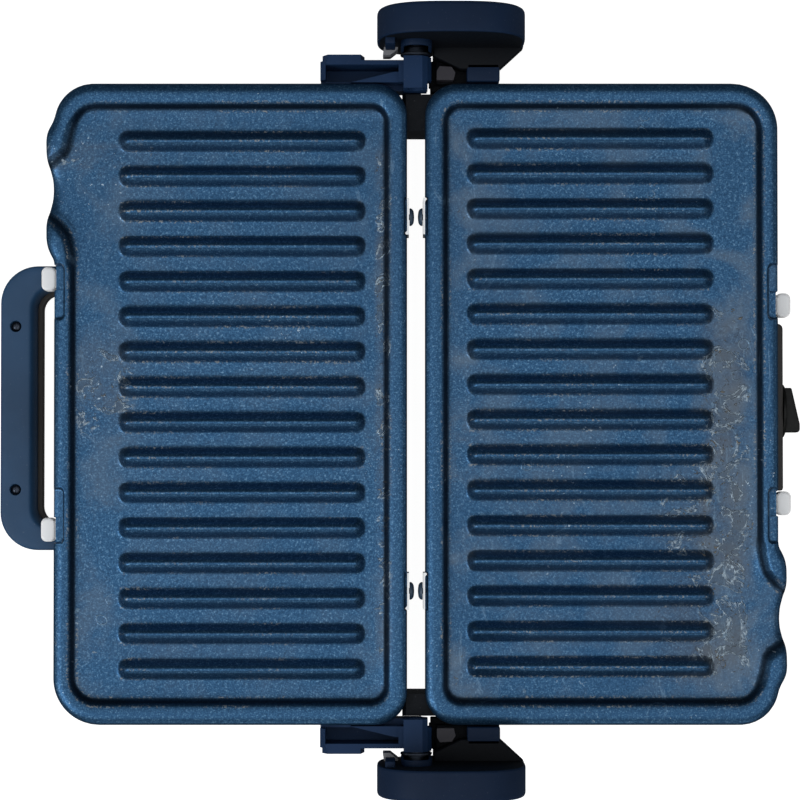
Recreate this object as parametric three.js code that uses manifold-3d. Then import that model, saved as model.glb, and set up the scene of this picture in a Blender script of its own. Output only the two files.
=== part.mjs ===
// Two-plate contact grill, opened flat, as an assembly of separate pieces.
// Millimetres, +Z up, +X towards the front of the base, hinge axis along Y.
import * as THREE from 'three';
import { mergeVertices } from 'three/addons/utils/BufferGeometryUtils.js';
import Module from 'manifold-3d';

const wasm = await Module();
wasm.setup();

// ---- driving dimensions -------------------------------------------------
const HINGE_X = 8.5;        // hinge axis, from the middle of the opened grill
const HINGE_Z = 62;         // hinge axis above the table
const RIM_Z = 61.8;         // top of both plate rims when opened flat
const GAP = 0.3;            // gap kept between pieces that touch
const PLATE_NEAR = 4.95;    // plate edge next to the hinge, from the axis
const PLATE_FAR = 199.1;    // front plate edge, from the axis
const PLATE_HALF = 176.4;   // half the plate's width
const PLATE_R = 18;         // outer corner radius of the plate
const PLATE_R_WIDE = 25.5;  // the rounder front corner away from the spout
const PLATE_R_SPOUT = 21.5; // the front corner beside the spout
const SKIRT = 12;           // height of the plate edge
const RIM_DEPTH = 7;        // rim top down to the cooking floor
const FLOOR_T = 3;          // thickness of the plate floor
const RIB_COUNT = 16;
const RIB_PITCH = 19.377;
const RIB_FIRST_Y = 146;
const RIB_H = 5.8;
const RIB_W = 11.5;
const RIB_X0 = 27.8;
const RIB_X1 = 163.6;
const INSET = 3.4;          // housing wall inside the plate edge
const WALL = 2.6;           // moulded wall thickness
const HOUSE_TOP = 51.3;
const DISC_R = 40.2;        // hinge bracket disc
const DISC_U = 18.9;
const DISC_Z = 72;
const SLOT_TRAVEL = 20;     // how far the hinge pin can rise
const PIN_R = 4.5;
const CLIP_Y = 103;
const KNOB_Y = -3.4;
const KNOB_Z = 33;
const LID_BUTTON_Y = 69.5;
const BASE_BUTTON_Y = 54.9;
const BUTTON_TRAVEL = 3;
const HANDLE_HALF = 79.4;
const HANDLE_Y = 1.75;       // the handle sits a little off the middle
const FLOOR_Z = RIM_Z - RIM_DEPTH;

// ---- helpers --------------------------------------------------------------
const V = (x, y) => new THREE.Vector2(x, y);

function solid(geometry) {
  let g = geometry.clone();
  g.deleteAttribute('normal');
  g.deleteAttribute('uv');
  g = mergeVertices(g, 1e-4);
  return new wasm.Manifold(new wasm.Mesh({
    numProp: 3,
    vertProperties: new Float32Array(g.attributes.position.array),
    triVerts: new Uint32Array(g.index.array),
  }));
}

function geometryOf(s) {
  const m = s.getMesh();
  const g = new THREE.BufferGeometry();
  g.setAttribute('position', new THREE.Float32BufferAttribute(Array.from(m.vertProperties), 3));
  g.setIndex(Array.from(m.triVerts));
  g.computeVertexNormals();
  return g;
}

// outline in plan (x, y), from z0 to z1, with an optional edge bevel
function slab(pts, z0, z1, bevel = 0, segments = 1) {
  const g = new THREE.ExtrudeGeometry(new THREE.Shape(pts), bevel > 0
    ? { depth: z1 - z0 - 2 * bevel, bevelEnabled: true, bevelThickness: bevel, bevelSize: bevel, bevelOffset: -bevel, bevelSegments: segments, steps: 1 }
    : { depth: z1 - z0, bevelEnabled: false, steps: 1 });
  g.translate(0, 0, z0 + bevel);
  return g;
}

// outline in side view (x, z), from y0 to y1
function slabY(pts, y0, y1, bevel = 0, segments = 1) {
  const lo = Math.min(y0, y1);
  const hi = Math.max(y0, y1);
  const g = slab(pts, 0, hi - lo, bevel, segments);
  g.applyMatrix4(new THREE.Matrix4().makeBasis(
    new THREE.Vector3(1, 0, 0), new THREE.Vector3(0, 0, 1), new THREE.Vector3(0, -1, 0)));
  g.translate(0, hi, 0);
  return g;
}

// outline in front view (y, z), from x0 to x1
function slabX(pts, x0, x1, bevel = 0, segments = 1) {
  const g = slab(pts, 0, x1 - x0, bevel, segments);
  g.applyMatrix4(new THREE.Matrix4().makeBasis(
    new THREE.Vector3(0, 1, 0), new THREE.Vector3(0, 0, 1), new THREE.Vector3(1, 0, 0)));
  g.translate(x0, 0, 0);
  return g;
}

function box(x0, x1, y0, y1, z0, z1) {
  const g = new THREE.BoxGeometry(Math.abs(x1 - x0), Math.abs(y1 - y0), Math.abs(z1 - z0));
  g.translate((x0 + x1) / 2, (y0 + y1) / 2, (z0 + z1) / 2);
  return g;
}

function cylX(r, x0, x1, y, z, n = 20) {
  const g = new THREE.CylinderGeometry(r, r, x1 - x0, n);
  g.rotateZ(Math.PI / 2);
  g.translate((x0 + x1) / 2, y, z);
  return g;
}

function cylY(r, y0, y1, x, z, n = 20) {
  const g = new THREE.CylinderGeometry(r, r, Math.abs(y1 - y0), n);
  g.translate(x, (y0 + y1) / 2, z);
  return g;
}

function cylZ(r, z0, z1, x, y, n = 20) {
  const g = new THREE.CylinderGeometry(r, r, z1 - z0, n);
  g.rotateX(Math.PI / 2);
  g.translate(x, y, (z0 + z1) / 2);
  return g;
}

// a list of radii goes round from the x1,y1 corner
function rounded(x0, x1, y0, y1, radius, n = 5) {
  const q = Array.isArray(radius) ? radius : [radius, radius, radius, radius];
  const out = [];
  const arc = (cx, cy, r, a0) => {
    for (let i = 0; i <= n; i += 1) {
      const a = a0 + (Math.PI / 2) * (i / n);
      out.push(V(cx + r * Math.cos(a), cy + r * Math.sin(a)));
    }
  };
  arc(x1 - q[0], y1 - q[0], q[0], 0);
  arc(x0 + q[1], y1 - q[1], q[1], Math.PI / 2);
  arc(x0 + q[2], y0 + q[2], q[2], Math.PI);
  arc(x1 - q[3], y0 + q[3], q[3], 1.5 * Math.PI);
  return out;
}

// move the lower ring of an extruded outline to another rectangle (mould draft)
function draft(g, top, bottom) {
  g.computeBoundingBox();
  const { min, max } = g.boundingBox;
  const p = g.attributes.position;
  for (let i = 0; i < p.count; i += 1) {
    const t = (max.z - p.getZ(i)) / (max.z - min.z);
    const fx = (p.getX(i) - top[0]) / (top[1] - top[0]);
    const fy = (p.getY(i) - top[2]) / (top[3] - top[2]);
    const bx = bottom[0] + fx * (bottom[1] - bottom[0]);
    const by = bottom[2] + fy * (bottom[3] - bottom[2]);
    p.setX(i, p.getX(i) * (1 - t) + bx * t);
    p.setY(i, p.getY(i) * (1 - t) + by * t);
  }
  return g;
}

const join = (list) => list.reduce((a, b) => a.add(b));

// ---- colours ---------------------------------------------------------------
const COAT = { color: 0x31506f, roughness: 0.45, metalness: 0.35 };
const BLACK = { color: 0x1b222d, roughness: 0.55, metalness: 0.0 };
const DARK = { color: 0x14161a, roughness: 0.6, metalness: 0.0 };
const STEEL = { color: 0xb9bcbf, roughness: 0.32, metalness: 1.0 };
const TIN = { color: 0xa9a9a4, roughness: 0.4, metalness: 1.0 };
const SHEATH = { color: 0x6a665f, roughness: 0.5, metalness: 0.9 };
const IVORY = { color: 0xe6e4dd, roughness: 0.4, metalness: 0.0 };
const RUBBER = { color: 0x17181a, roughness: 0.85, metalness: 0.0 };
const GREY = { color: 0x4d4a4c, roughness: 0.6, metalness: 0.0 };
const LENS_RED = { color: 0xb0271a, roughness: 0.2, metalness: 0.0 };
const LENS_GREEN = { color: 0x2f9a4a, roughness: 0.2, metalness: 0.0 };
const CERAMIC = { color: 0xd8d3c6, roughness: 0.7, metalness: 0.0 };
const CABLE = { color: 0xb8b4aa, roughness: 0.7, metalness: 0.0 };

function piece(name, shape, look) {
  const g = shape.getMesh ? geometryOf(shape) : shape;
  const m = new THREE.Mesh(g, new THREE.MeshStandardMaterial(look));
  m.name = name;
  return m;
}

// ---- cooking plate, drawn for the base and turned half round for the lid ---
function plateOutline() {
  const out = rounded(PLATE_NEAR, PLATE_FAR, -PLATE_HALF, PLATE_HALF, [PLATE_R_WIDE, PLATE_R, PLATE_R, PLATE_R_SPOUT], 5);
  // pouring spout: two lobes with a lip between them
  out.pop();
  [[198.8, -158.3], [199.8, -155], [201.7, -152.2], [203.1, -149.2], [203.7, -145.4],
    [203.6, -138], [203.0, -132.6], [201.8, -128.2], [200.7, -123.4], [200.4, -118],
    [200.8, -112.6], [202.0, -107.4], [203.1, -103], [203.6, -97.6], [203.5, -90.2],
    [202.8, -86.2], [201.4, -82.6], [199.9, -80], [199.1, -78.2]].forEach((q) => out.push(V(q[0], q[1])));
  return out;
}

function ribGeometry(y) {
  const w = RIB_W / 2;
  const z = FLOOR_Z - 0.6;
  const top = FLOOR_Z + RIB_H;
  const pts = [V(y - w - 0.3, z), V(y + w + 0.3, z), V(y + w * 0.62, top - 1.6),
    V(y + w * 0.24, top), V(y - w * 0.24, top), V(y - w * 0.62, top - 1.6)];
  const g = slabX(pts, RIB_X0, RIB_X1);
  const p = g.attributes.position;
  for (let i = 0; i < p.count; i += 1) {
    const rise = Math.max(0, p.getZ(i) - FLOOR_Z);
    const lean = rise * 1.1 + (rise > RIB_H - 0.1 ? 2.2 : 0);
    p.setX(i, p.getX(i) < (RIB_X0 + RIB_X1) / 2 ? RIB_X0 + lean : RIB_X1 - lean);
  }
  return g;
}

function plate(name, notchY) {
  let s = solid(slab(plateOutline(), RIM_Z - SKIRT, RIM_Z, 1.6, 1));
  // pan inside the rim
  const top = [14.6, 188.8, -166.6, 166.6];
  const bottom = [17.6, 185.8, -161.6, 161.6];
  const pan = draft(slab(rounded(top[0], top[1], top[2], top[3], 12.5, 4), FLOOR_Z, RIM_Z + 0.2), top, bottom);
  s = s.subtract(solid(pan));
  // run-out to the spout
  s = s.subtract(solid(slab([V(178, -86), V(187, -90.5), V(201, -103.5), V(210, -103.5), V(210, -128.8),
    V(201, -128.8), V(190.5, -136), V(187, -148), V(178, -148)], FLOOR_Z, RIM_Z + 1)));
  s = s.add(join(Array.from({ length: RIB_COUNT }, (_, i) => solid(ribGeometry(RIB_FIRST_Y - i * RIB_PITCH)))));
  // open underside, so the plate sits over the housing wall
  s = s.subtract(solid(slab(rounded(PLATE_NEAR + 3, PLATE_FAR - 3, -PLATE_HALF + 3, PLATE_HALF - 3, [PLATE_R_WIDE - 3, 15, 15, PLATE_R_SPOUT - 3], 4),
    RIM_Z - SKIRT - 1, FLOOR_Z - FLOOR_T)));
  // stepped release shelves in the front rim, each with a notch over its catch
  for (const side of [1, -1]) {
    const y0 = side * 45.6;
    const y1 = side * 77.4;
    s = s.subtract(solid(slab(rounded(192.6, 206, Math.min(y0, y1), Math.max(y0, y1), 3.5, 3), RIM_Z - 3.6, RIM_Z + 1)));
    s = s.subtract(solid(box(194.6, 206, side * notchY - 7, side * notchY + 7, RIM_Z - SKIRT - 1, RIM_Z)));
    // notch for the rear clip
    s = s.subtract(solid(box(PLATE_NEAR - 2, PLATE_NEAR + 1.3, side * CLIP_Y - 10.6, side * CLIP_Y + 10.6, RIM_Z - SKIRT - 1, RIM_Z + 1)));
  }
  return piece(name, s, COAT);
}

// ---- housings ---------------------------------------------------------------
const HOUSE_TOP_RECT = [PLATE_NEAR + INSET, PLATE_FAR - INSET, -PLATE_HALF + INSET, PLATE_HALF - INSET];

function shell(frontBottom, zBottom) {
  const t = HOUSE_TOP_RECT;
  const b = [12.5, frontBottom, -167, 167];
  const outer = solid(draft(slab(rounded(t[0], t[1], t[2], t[3], [PLATE_R_WIDE - 3.4, 15, 15, PLATE_R_SPOUT - 3.4], 4), zBottom, HOUSE_TOP), t, b));
  const ti = [t[0] + WALL, t[1] - WALL, t[2] + WALL, t[3] - WALL];
  const bi = [b[0] + WALL, b[1] - WALL, b[2] + WALL, b[3] - WALL];
  const inner = solid(draft(slab(rounded(ti[0], ti[1], ti[2], ti[3], [PLATE_R_WIDE - 6, 12.4, 12.4, PLATE_R_SPOUT - 6], 4), zBottom - 1, HOUSE_TOP + 1), ti, bi));
  return { outer, inner };
}

function coverPlate(name, front, z0, z1, holes, look) {
  let s = solid(slab(rounded(12.5 + WALL + GAP + 0.4, front, -167 + WALL + GAP + 0.4, 167 - WALL - GAP - 0.4, [19, 12, 12, 15], 3), z0, z1));
  for (const [x, y, r] of holes) s = s.subtract(solid(cylZ(r, z0 - 1, z1 + 1, x, y, 10)));
  return piece(name, s, look);
}

function reflector(name) {
  const z0 = 36;
  const z1 = 46;
  let s = solid(slab(rounded(23, 171, -155, 155, 10, 3), z0, z1))
    .subtract(solid(slab(rounded(24.2, 169.8, -153.8, 153.8, 9, 3), z0 + 1.2, z1 + 1)));
  s = s.add(solid(slab(rounded(18, 175.6, -160, 160, 12, 3), z1 - 1.2, z1))
    .subtract(solid(slab(rounded(23.6, 170.4, -154.4, 154.4, 9.5, 3), z1 - 3, z1 + 1))));
  for (const y of [-15, 15]) s = s.subtract(solid(cylZ(6.2, z0 - 1, z0 + 3, 41, y * 1.07, 10)));
  return piece(name, s, TIN);
}

function heater(name) {
  const z = FLOOR_Z - FLOOR_T - GAP - 3.3;
  const half = [[40, 15, 30], [40, 15, 37], [40.6, 16, 43], [43, 20, z - 0.6], [46, 30, z], [46, 60, z], [46, 118, z], [52, 133, z], [68, 139, z],
    [132, 139, z], [149, 133, z], [156, 117, z], [156, 60, z]];
  const pts = [...half, [156, 0, z], ...half.map((q) => [q[0], -q[1], q[2]]).reverse()]
    .map((q) => new THREE.Vector3(q[0], q[1], q[2]));
  const path = new THREE.CatmullRomCurve3(pts, false, 'centripetal');
  const section = Array.from({ length: 6 }, (_, i) => V(3.2 * Math.cos(i * Math.PI / 3), 3.2 * Math.sin(i * Math.PI / 3)));
  const g = new THREE.ExtrudeGeometry(new THREE.Shape(section), { steps: 36, bevelEnabled: false, extrudePath: path });
  return piece(name, g, SHEATH);
}

function lead(name, points, r, steps) {
  const path = new THREE.CatmullRomCurve3(points.map((q) => new THREE.Vector3(q[0], q[1], q[2])), false, 'centripetal');
  const section = Array.from({ length: 6 }, (_, i) => V(r * Math.cos(i * Math.PI / 3), r * Math.sin(i * Math.PI / 3)));
  return piece(name, new THREE.ExtrudeGeometry(new THREE.Shape(section), { steps, bevelEnabled: false, extrudePath: path }), CABLE);
}

// plate clip at the hinge side: bent steel strip with a riveted stop
function clip(name, y) {
  let s = solid(box(3.9, 4.9, y - 10, y + 10, 38.6, RIM_Z - 1.2));
  s = s.add(solid(box(3.9, 8.6, y - 10, y + 10, 38.6, 39.8)));
  s = s.add(solid(slab([V(4.5, y + 8), V(4.9, y + 8), V(6, y + 9.4), V(5.4, y + 10.2), V(3.9, y + 10.2)], 54, RIM_Z - 1.2)));
  s = s.subtract(solid(cylX(2.0, 3, 5.6, y, 54.6, 8)));
  return piece(name, s, STEEL);
}

function rivet(name, y) {
  const prof = [[0, 0], [1.6, 0], [1.6, 1.7], [4.9, 1.7], [4.5, 3.1], [3, 4.0], [0, 4.3]].map((q) => V(q[0], q[1]));
  const g = new THREE.LatheGeometry(prof, 10);
  g.rotateZ(Math.PI / 2); // axis +Y turned to -X
  g.translate(5.3, y, 54.6);
  return piece(name, g, GREY);
}

// ---- base --------------------------------------------------------------------
const root = new THREE.Group();
root.position.x = HINGE_X;

const base = new THREE.Group();
root.add(base);

{
  const { outer, inner } = shell(188, 6);
  let body = outer;
  // hinge towers that close the gap behind the plates at both ends
  for (const s of [1, -1]) {
    body = body.add(solid(slabY([V(-7.6, 14), V(16, 14), V(16, 49.2), V(-5.6, 49.2), V(-7.6, 46.4)], s > 0 ? 151.6 : -160, s * 171.8)));
    // low end plate of the tower
    body = body.add(solid(box(-7.6, 16, s * 171.4, s * 173.1, 14, 39)));
  }
  body = body.subtract(inner);
  // bosses for the bottom cover screws and rests for the reflector
  for (const [x, y] of [[34, 140], [34, -140], [168, 140], [168, -140]]) {
    body = body.add(solid(cylZ(5, 9, 35.7, x, y, 8)));
    body = body.add(solid(box(x > 100 ? x : 12, x > 100 ? 190 : x, y - 1.2, y + 1.2, 12, 30)));
    body = body.subtract(solid(cylZ(2.0, 5, 24, x, y, 8)));
  }
  // windows: front panel, buttons, knob spindle, cord
  body = body.subtract(solid(box(180, 200, KNOB_Y - 7, KNOB_Y + 7, KNOB_Z - 7, KNOB_Z + 7)));
  for (const s of [1, -1]) {
    body = body.subtract(solid(box(185, 199, s * BASE_BUTTON_Y - 5.6, s * BASE_BUTTON_Y + 5.6, 38.4, 48.4)));
    body = body.subtract(solid(box(5, 12.3, s * CLIP_Y - 10.4, s * CLIP_Y + 10.4, 38.1, 40.3)));
    // holes for the two lamps
    body = body.subtract(solid(cylX(4, 180, 200, s * 30, KNOB_Z, 8)));
  }
  body = body.subtract(solid(cylX(6.5, 5, 20, -120, 20, 14)));
  base.add(piece('base_housing', body, BLACK));
}

base.add(coverPlate('base_bottom_cover', 184.6, 5.6, 8.4,
  [[34, 140, 2.2], [34, -140, 2.2], [168, 140, 2.2], [168, -140, 2.2]], DARK));

for (const [name, x, y] of [['screw_rear_right', 34, -140], ['screw_rear_left', 34, 140], ['screw_front_right', 168, -140], ['screw_front_left', 168, 140]]) {
  const prof = [[0, 0], [3.4, 0], [3.6, 1.6], [1.6, 1.6], [1.6, 16], [0, 17.2]].map((q) => V(q[0], q[1]));
  const g = new THREE.LatheGeometry(prof, 8);
  g.rotateX(Math.PI / 2);
  g.translate(x, y, 3.7);
  base.add(piece('cover_' + name, g, STEEL));
}

for (const [name, x, y] of [['foot_rear_right', 32, -122], ['foot_rear_left', 32, 122], ['foot_front_right', 166, -122], ['foot_front_left', 166, 122]]) {
  const prof = [[0, 0], [8, 0], [9.4, 1.6], [9.4, 5.3], [0, 5.3]].map((q) => V(q[0], q[1]));
  const g = new THREE.LatheGeometry(prof, 14);
  g.rotateX(Math.PI / 2);
  g.translate(x, y, 0);
  base.add(piece(name, g, RUBBER));
}

base.add(reflector('base_reflector'));
base.add(heater('base_heating_element'));

// front panel with a shallow dial recess
{
  let s = solid(slab(rounded(194.8, 203.3, -47.9, 44.6, [2.8, 1.5, 1.5, 1.5], 3), 12.6, 48.2, 1.0, 1));
  s = s.add(solid(box(190.6, 198.5, -40, 40, 16, 40)));
  s = s.subtract(solid(box(186, 201.2, -36, 36, 18.5, 38)));
  s = s.subtract(solid(slabX([V(-47.6, 48.6), V(47.6, 48.6), V(47.6, 9), V(-47.6, 9)], 180, 192)));
  s = s.subtract(solid(cylX(5, 198, 205, KNOB_Y, KNOB_Z, 14)));
  for (const y of [30, -30]) s = s.subtract(solid(cylX(2.9, 198, 205, y, KNOB_Z, 10)));
  // stays clear of the drafted housing wall
  const { outer } = shell(188, 6);
  const fat = outer.translate([0.35, 0, 0]);
  s = s.subtract(fat);
  base.add(piece('front_panel', s, DARK));
}

for (const [name, y, look] of [['power_lamp', 30, LENS_RED], ['ready_lamp', -30, LENS_GREEN]]) {
  const prof = [[0, 0], [2.6, 0], [2.6, 12.1], [1.6, 12.9], [0, 13.1]].map((q) => V(q[0], q[1]));
  const g = new THREE.LatheGeometry(prof, 10);
  g.rotateZ(-Math.PI / 2);
  g.translate(190.9, y, KNOB_Z);
  base.add(piece(name, g, look));
}

// thermostat under the reflector, reached by the knob's spindle
{
  let s = solid(box(158, 176, KNOB_Y - 13, KNOB_Y + 13, 20, 34.8));
  s = s.add(solid(cylX(6.5, 175, 181, KNOB_Y, KNOB_Z - 5.5, 14)));
  s = s.subtract(solid(cylX(3.4, 166, 190, KNOB_Y, KNOB_Z, 16)));
  s = s.add(solid(box(160, 166, KNOB_Y - 18, KNOB_Y - 13, 22, 28)));
  base.add(piece('thermostat', s, CERAMIC));
}
base.add(piece('terminal_block', solid(box(22, 36, -112, -84, 9.2, 21)).subtract(solid(box(20, 38, -103, -100, 16, 22))).subtract(solid(box(20, 38, -96, -93, 16, 22))), CERAMIC));
{
  const prof = [[3.4, 0], [5.6, 0], [6, 0.8], [6, 7.5], [7.8, 7.5], [7.8, 9.2], [3.4, 9.2], [3.4, 0]].map((q) => V(q[0], q[1]));
  const g = new THREE.LatheGeometry(prof, 14);
  g.rotateZ(-Math.PI / 2);
  g.translate(7.4, -120, 20);
  base.add(piece('cord_gland', g, RUBBER));
}
base.add(piece('thermal_fuse', cylX(2.4, 70, 92, 12, 32.8, 10), CERAMIC));
base.add(lead('base_wiring', [[37, -90, 24], [52, -70, 26], [90, -40, 27], [130, -25, 27], [154, -20, 25]], 1.8, 10));

for (const s of [1, -1]) {
  const side = s > 0 ? 'left' : 'right';
  // bracket: cup-shaped disc with a vertical slot, on a neck that screws to the housing
  // step that carries the bracket on the side of the housing
  let neck = solid(box(28, 46, s * 173.8, s * 187, 24, 61.2));
  neck = neck.subtract(solid(box(20, 50, s * 170, s * 177.2, 49.3, 64)));
  // body that widens from the step to the disc
  neck = neck.add(solid(slab([V(24.5, s * 184), V(46, s * 184), V(59, s * 195.9), V(59, s * 198), V(9.4, s * 198), V(9.4, s * 191.2)], 52, 61.2)));
  neck = neck.add(solid(slab([V(24.5, s * 184), V(43, s * 184), V(50, s * 195.9), V(50, s * 198), V(9.4, s * 198), V(9.4, s * 191.2)], 33, 52.2)));
  // shelf under the latch lever, lower towards the hinge knuckle
  neck = neck.add(solid(slab([V(11, s * 177.2), V(29, s * 177.2), V(29, s * 191), V(11, s * 191)], 33, 50)));
  neck = neck.add(solid(box(7.2, 12, s * 177.2, s * 191, 33, 44)));
  neck = neck.add(solid(box(8, 16, s * 173.8, s * 177.5, 33, 44)));
  let disc = solid(slabY(squircle(DISC_U, DISC_Z, DISC_R, 40), s * 195.7, s * 212));
  disc = disc.subtract(solid(slabY(squircle(DISC_U, DISC_Z, DISC_R - 3.4, 40), s * 198.5, s * 213)));
  let b = disc.add(neck);
  // raised lip round the slot
  b = b.add(solid(slabY(slotOutline(8.4), s * 192.4, s * 196)));
  b = b.subtract(solid(slabY(slotOutline(6.7), s * 188, s * 195.7)));
  b = b.add(solid(box(-16.8, -11.4, s * 192.4, s * 196, 72, 93.5)));
  b = b.subtract(solid(slabY(slotOutline(5.0), s * 190, s * 200)));
  // guide rails for the slider
  const rails = solid(box(-9.6, 9.6, s * 198.4, s * 205.5, 50, 94)).subtract(solid(box(-7.4, 7.4, s * 190, s * 209, 54.6, 89.6)))
    .intersect(solid(slabY(squircle(DISC_U, DISC_Z, DISC_R - 1, 40), s * 190, s * 209)));
  b = b.add(rails);
  base.add(piece('hinge_bracket_' + side, b, BLACK));
  // cap let into the rim of the disc
  let cap = solid(slabY(squircle(DISC_U, DISC_Z, DISC_R - 3.8, 40), s * 209.2, s * 211.6, 0));
  cap = cap.add(solid(slabY(squircle(DISC_U, DISC_Z, DISC_R - 5, 24), s * 207.6, s * 209.4)));
  base.add(piece('hinge_cap_' + side, cap, BLACK));
  // steel stop on the inner face of the disc, behind the lid arm
  base.add(piece('hinge_stop_' + side, solid(slab([V(-18.2, s * 190.9), V(-14.2, s * 190.9), V(-10, s * 194.2), V(-10, s * 195.3), V(-17.6, s * 195.3)], 52, 66)), GREY));
  // latch lever that lets the lid past upright
  base.add(piece('latch_lever_' + side, solid(slab([V(11.4, s * 178), V(20.6, s * 178), V(21.6, s * 182), V(19.6, s * 185.2), V(13, s * 185.6), V(11.4, s * 183)], 50.4, 60.6)), GREY));
  base.add(clip('base_clip_' + side, s * CLIP_Y));
  base.add(rivet('base_clip_rivet_' + side, s * CLIP_Y));
}

// round outline with slightly squared sides
function squircle(x, z, r, n) {
  return Array.from({ length: n }, (_, i) => {
    const c = Math.cos((2 * Math.PI * i) / n);
    const d = Math.sin((2 * Math.PI * i) / n);
    const k = r / (Math.abs(c) ** 2.9 + Math.abs(d) ** 2.9) ** (1 / 2.9);
    return V(x + k * c, z + k * d);
  });
}

function slotOutline(r) {
  const out = [];
  for (let i = 0; i <= 6; i += 1) out.push(V(r * Math.cos(Math.PI * i / 6), HINGE_Z + SLOT_TRAVEL + r * Math.sin(Math.PI * i / 6)));
  for (let i = 0; i <= 6; i += 1) out.push(V(r * Math.cos(Math.PI + Math.PI * i / 6), HINGE_Z + r * Math.sin(Math.PI + Math.PI * i / 6)));
  return out;
}

// knob: round skirt with a wedge grip, and its spindle in one moulding
{
  const prof = [[0, 0], [14.9, 0], [14.9, 1.4], [14.2, 2.1], [0, 2.1]].map((q) => V(q[0], q[1]));
  const g = new THREE.LatheGeometry(prof, 24);
  g.rotateZ(-Math.PI / 2);
  g.translate(203.7, KNOB_Y, KNOB_Z);
  let s = solid(g);
  s = s.add(solid(slab([V(205.4, KNOB_Y + 12.9), V(209.8, KNOB_Y + 12.9), V(214.4, KNOB_Y - 7.4), V(214.4, KNOB_Y - 10.8), V(213.4, KNOB_Y - 12), V(205.4, KNOB_Y - 12)], KNOB_Z - 4.2, KNOB_Z + 4.2)));
  s = s.add(solid(cylX(3, 168, 206, KNOB_Y, KNOB_Z, 12)));
  base.add(piece('temperature_knob', s, DARK));
}

// ---- release buttons: head, stem and flange ------------------------------------
function button(name, y) {
  let s = solid(slab(rounded(199.4, 207.6, y - 6.6, y + 6.6, 3.2, 3), 38.6, 48.6, 1.4, 1));
  s = s.add(solid(box(187.2, 200.4, y - 5, y + 5, 39, 47.8)));
  s = s.add(solid(box(183.6, 187.6, y - 7, y + 7, 38, 48.8)));
  return piece(name, s, IVORY);
}

// ---- plates --------------------------------------------------------------------
base.add(plate('base_plate', BASE_BUTTON_Y));

// ---- lid, drawn like the base and turned half round about the hinge ------------
const lid = new THREE.Group();
lid.rotation.z = Math.PI;
root.add(lid);
{
  const { outer, inner } = shell(184, 5.6);
  // finger room behind the handle
  const cut = solid(box(180, 200, -60.4, 60.4, -2, 40.5));
  const keep = solid(box(177.4, 200, -62.2, 62.2, -2, 43.1));
  let body = outer.subtract(inner.subtract(keep)).subtract(cut);
  for (const [x, y] of [[34, 140], [34, -140], [168, 140], [168, -140]]) {
    body = body.add(solid(cylZ(4.6, 9, 35.7, x, y, 8)));
    body = body.add(solid(box(x > 100 ? x : 12, x > 100 ? 187 : x, y - 1.2, y + 1.2, 12, 30)));
  }
  for (const s of [1, -1]) {
    body = body.subtract(solid(box(185, 199, s * LID_BUTTON_Y - 5.6, s * LID_BUTTON_Y + 5.6, 38.4, 48.4)));
    body = body.subtract(solid(box(5, 12.3, s * CLIP_Y - 10.4, s * CLIP_Y + 10.4, 38.1, 40.3)));
    // sockets for the handle's ends
    body = body.subtract(solid(box(170, 199, HANDLE_Y + s * 64.8, HANDLE_Y + s * 78, 18.2, 35.4)));
  }
  lid.add(piece('lid_housing', body, BLACK));
}
{
  const skin = solid(slab(rounded(15.8, 176.6, -163.7, 163.7, [17.5, 12, 12, 12], 4), 2.4, 9, 1.4, 1));
  const hollow = solid(slab(rounded(17.6, 174.8, -161.9, 161.9, [16, 10.5, 10.5, 10.5], 4), 4.2, 12));
  lid.add(piece('lid_cover', skin.subtract(hollow), STEEL));
}
lid.add(reflector('lid_reflector'));
lid.add(heater('lid_heating_element'));
lid.add(piece('lid_thermal_fuse', cylX(2.4, 70, 92, 12, 32.8, 10), CERAMIC));
lid.add(plate('lid_plate', LID_BUTTON_Y));
for (const s of [1, -1]) {
  // after the half turn these names read from the front of the opened lid
  const side = s > 0 ? 'right' : 'left';
  lid.add(clip('lid_clip_' + side, s * CLIP_Y));
  lid.add(rivet('lid_clip_rivet_' + side, s * CLIP_Y));
}

// rest pads under the lid when it lies open
for (const [name, x] of [['lid_pad_front', 150], ['lid_pad_rear', 50]]) {
  lid.add(piece(name, slab(rounded(x - 5, x + 5, -60, 60, 4.9, 3), 0, 2.1), RUBBER));
}

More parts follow.
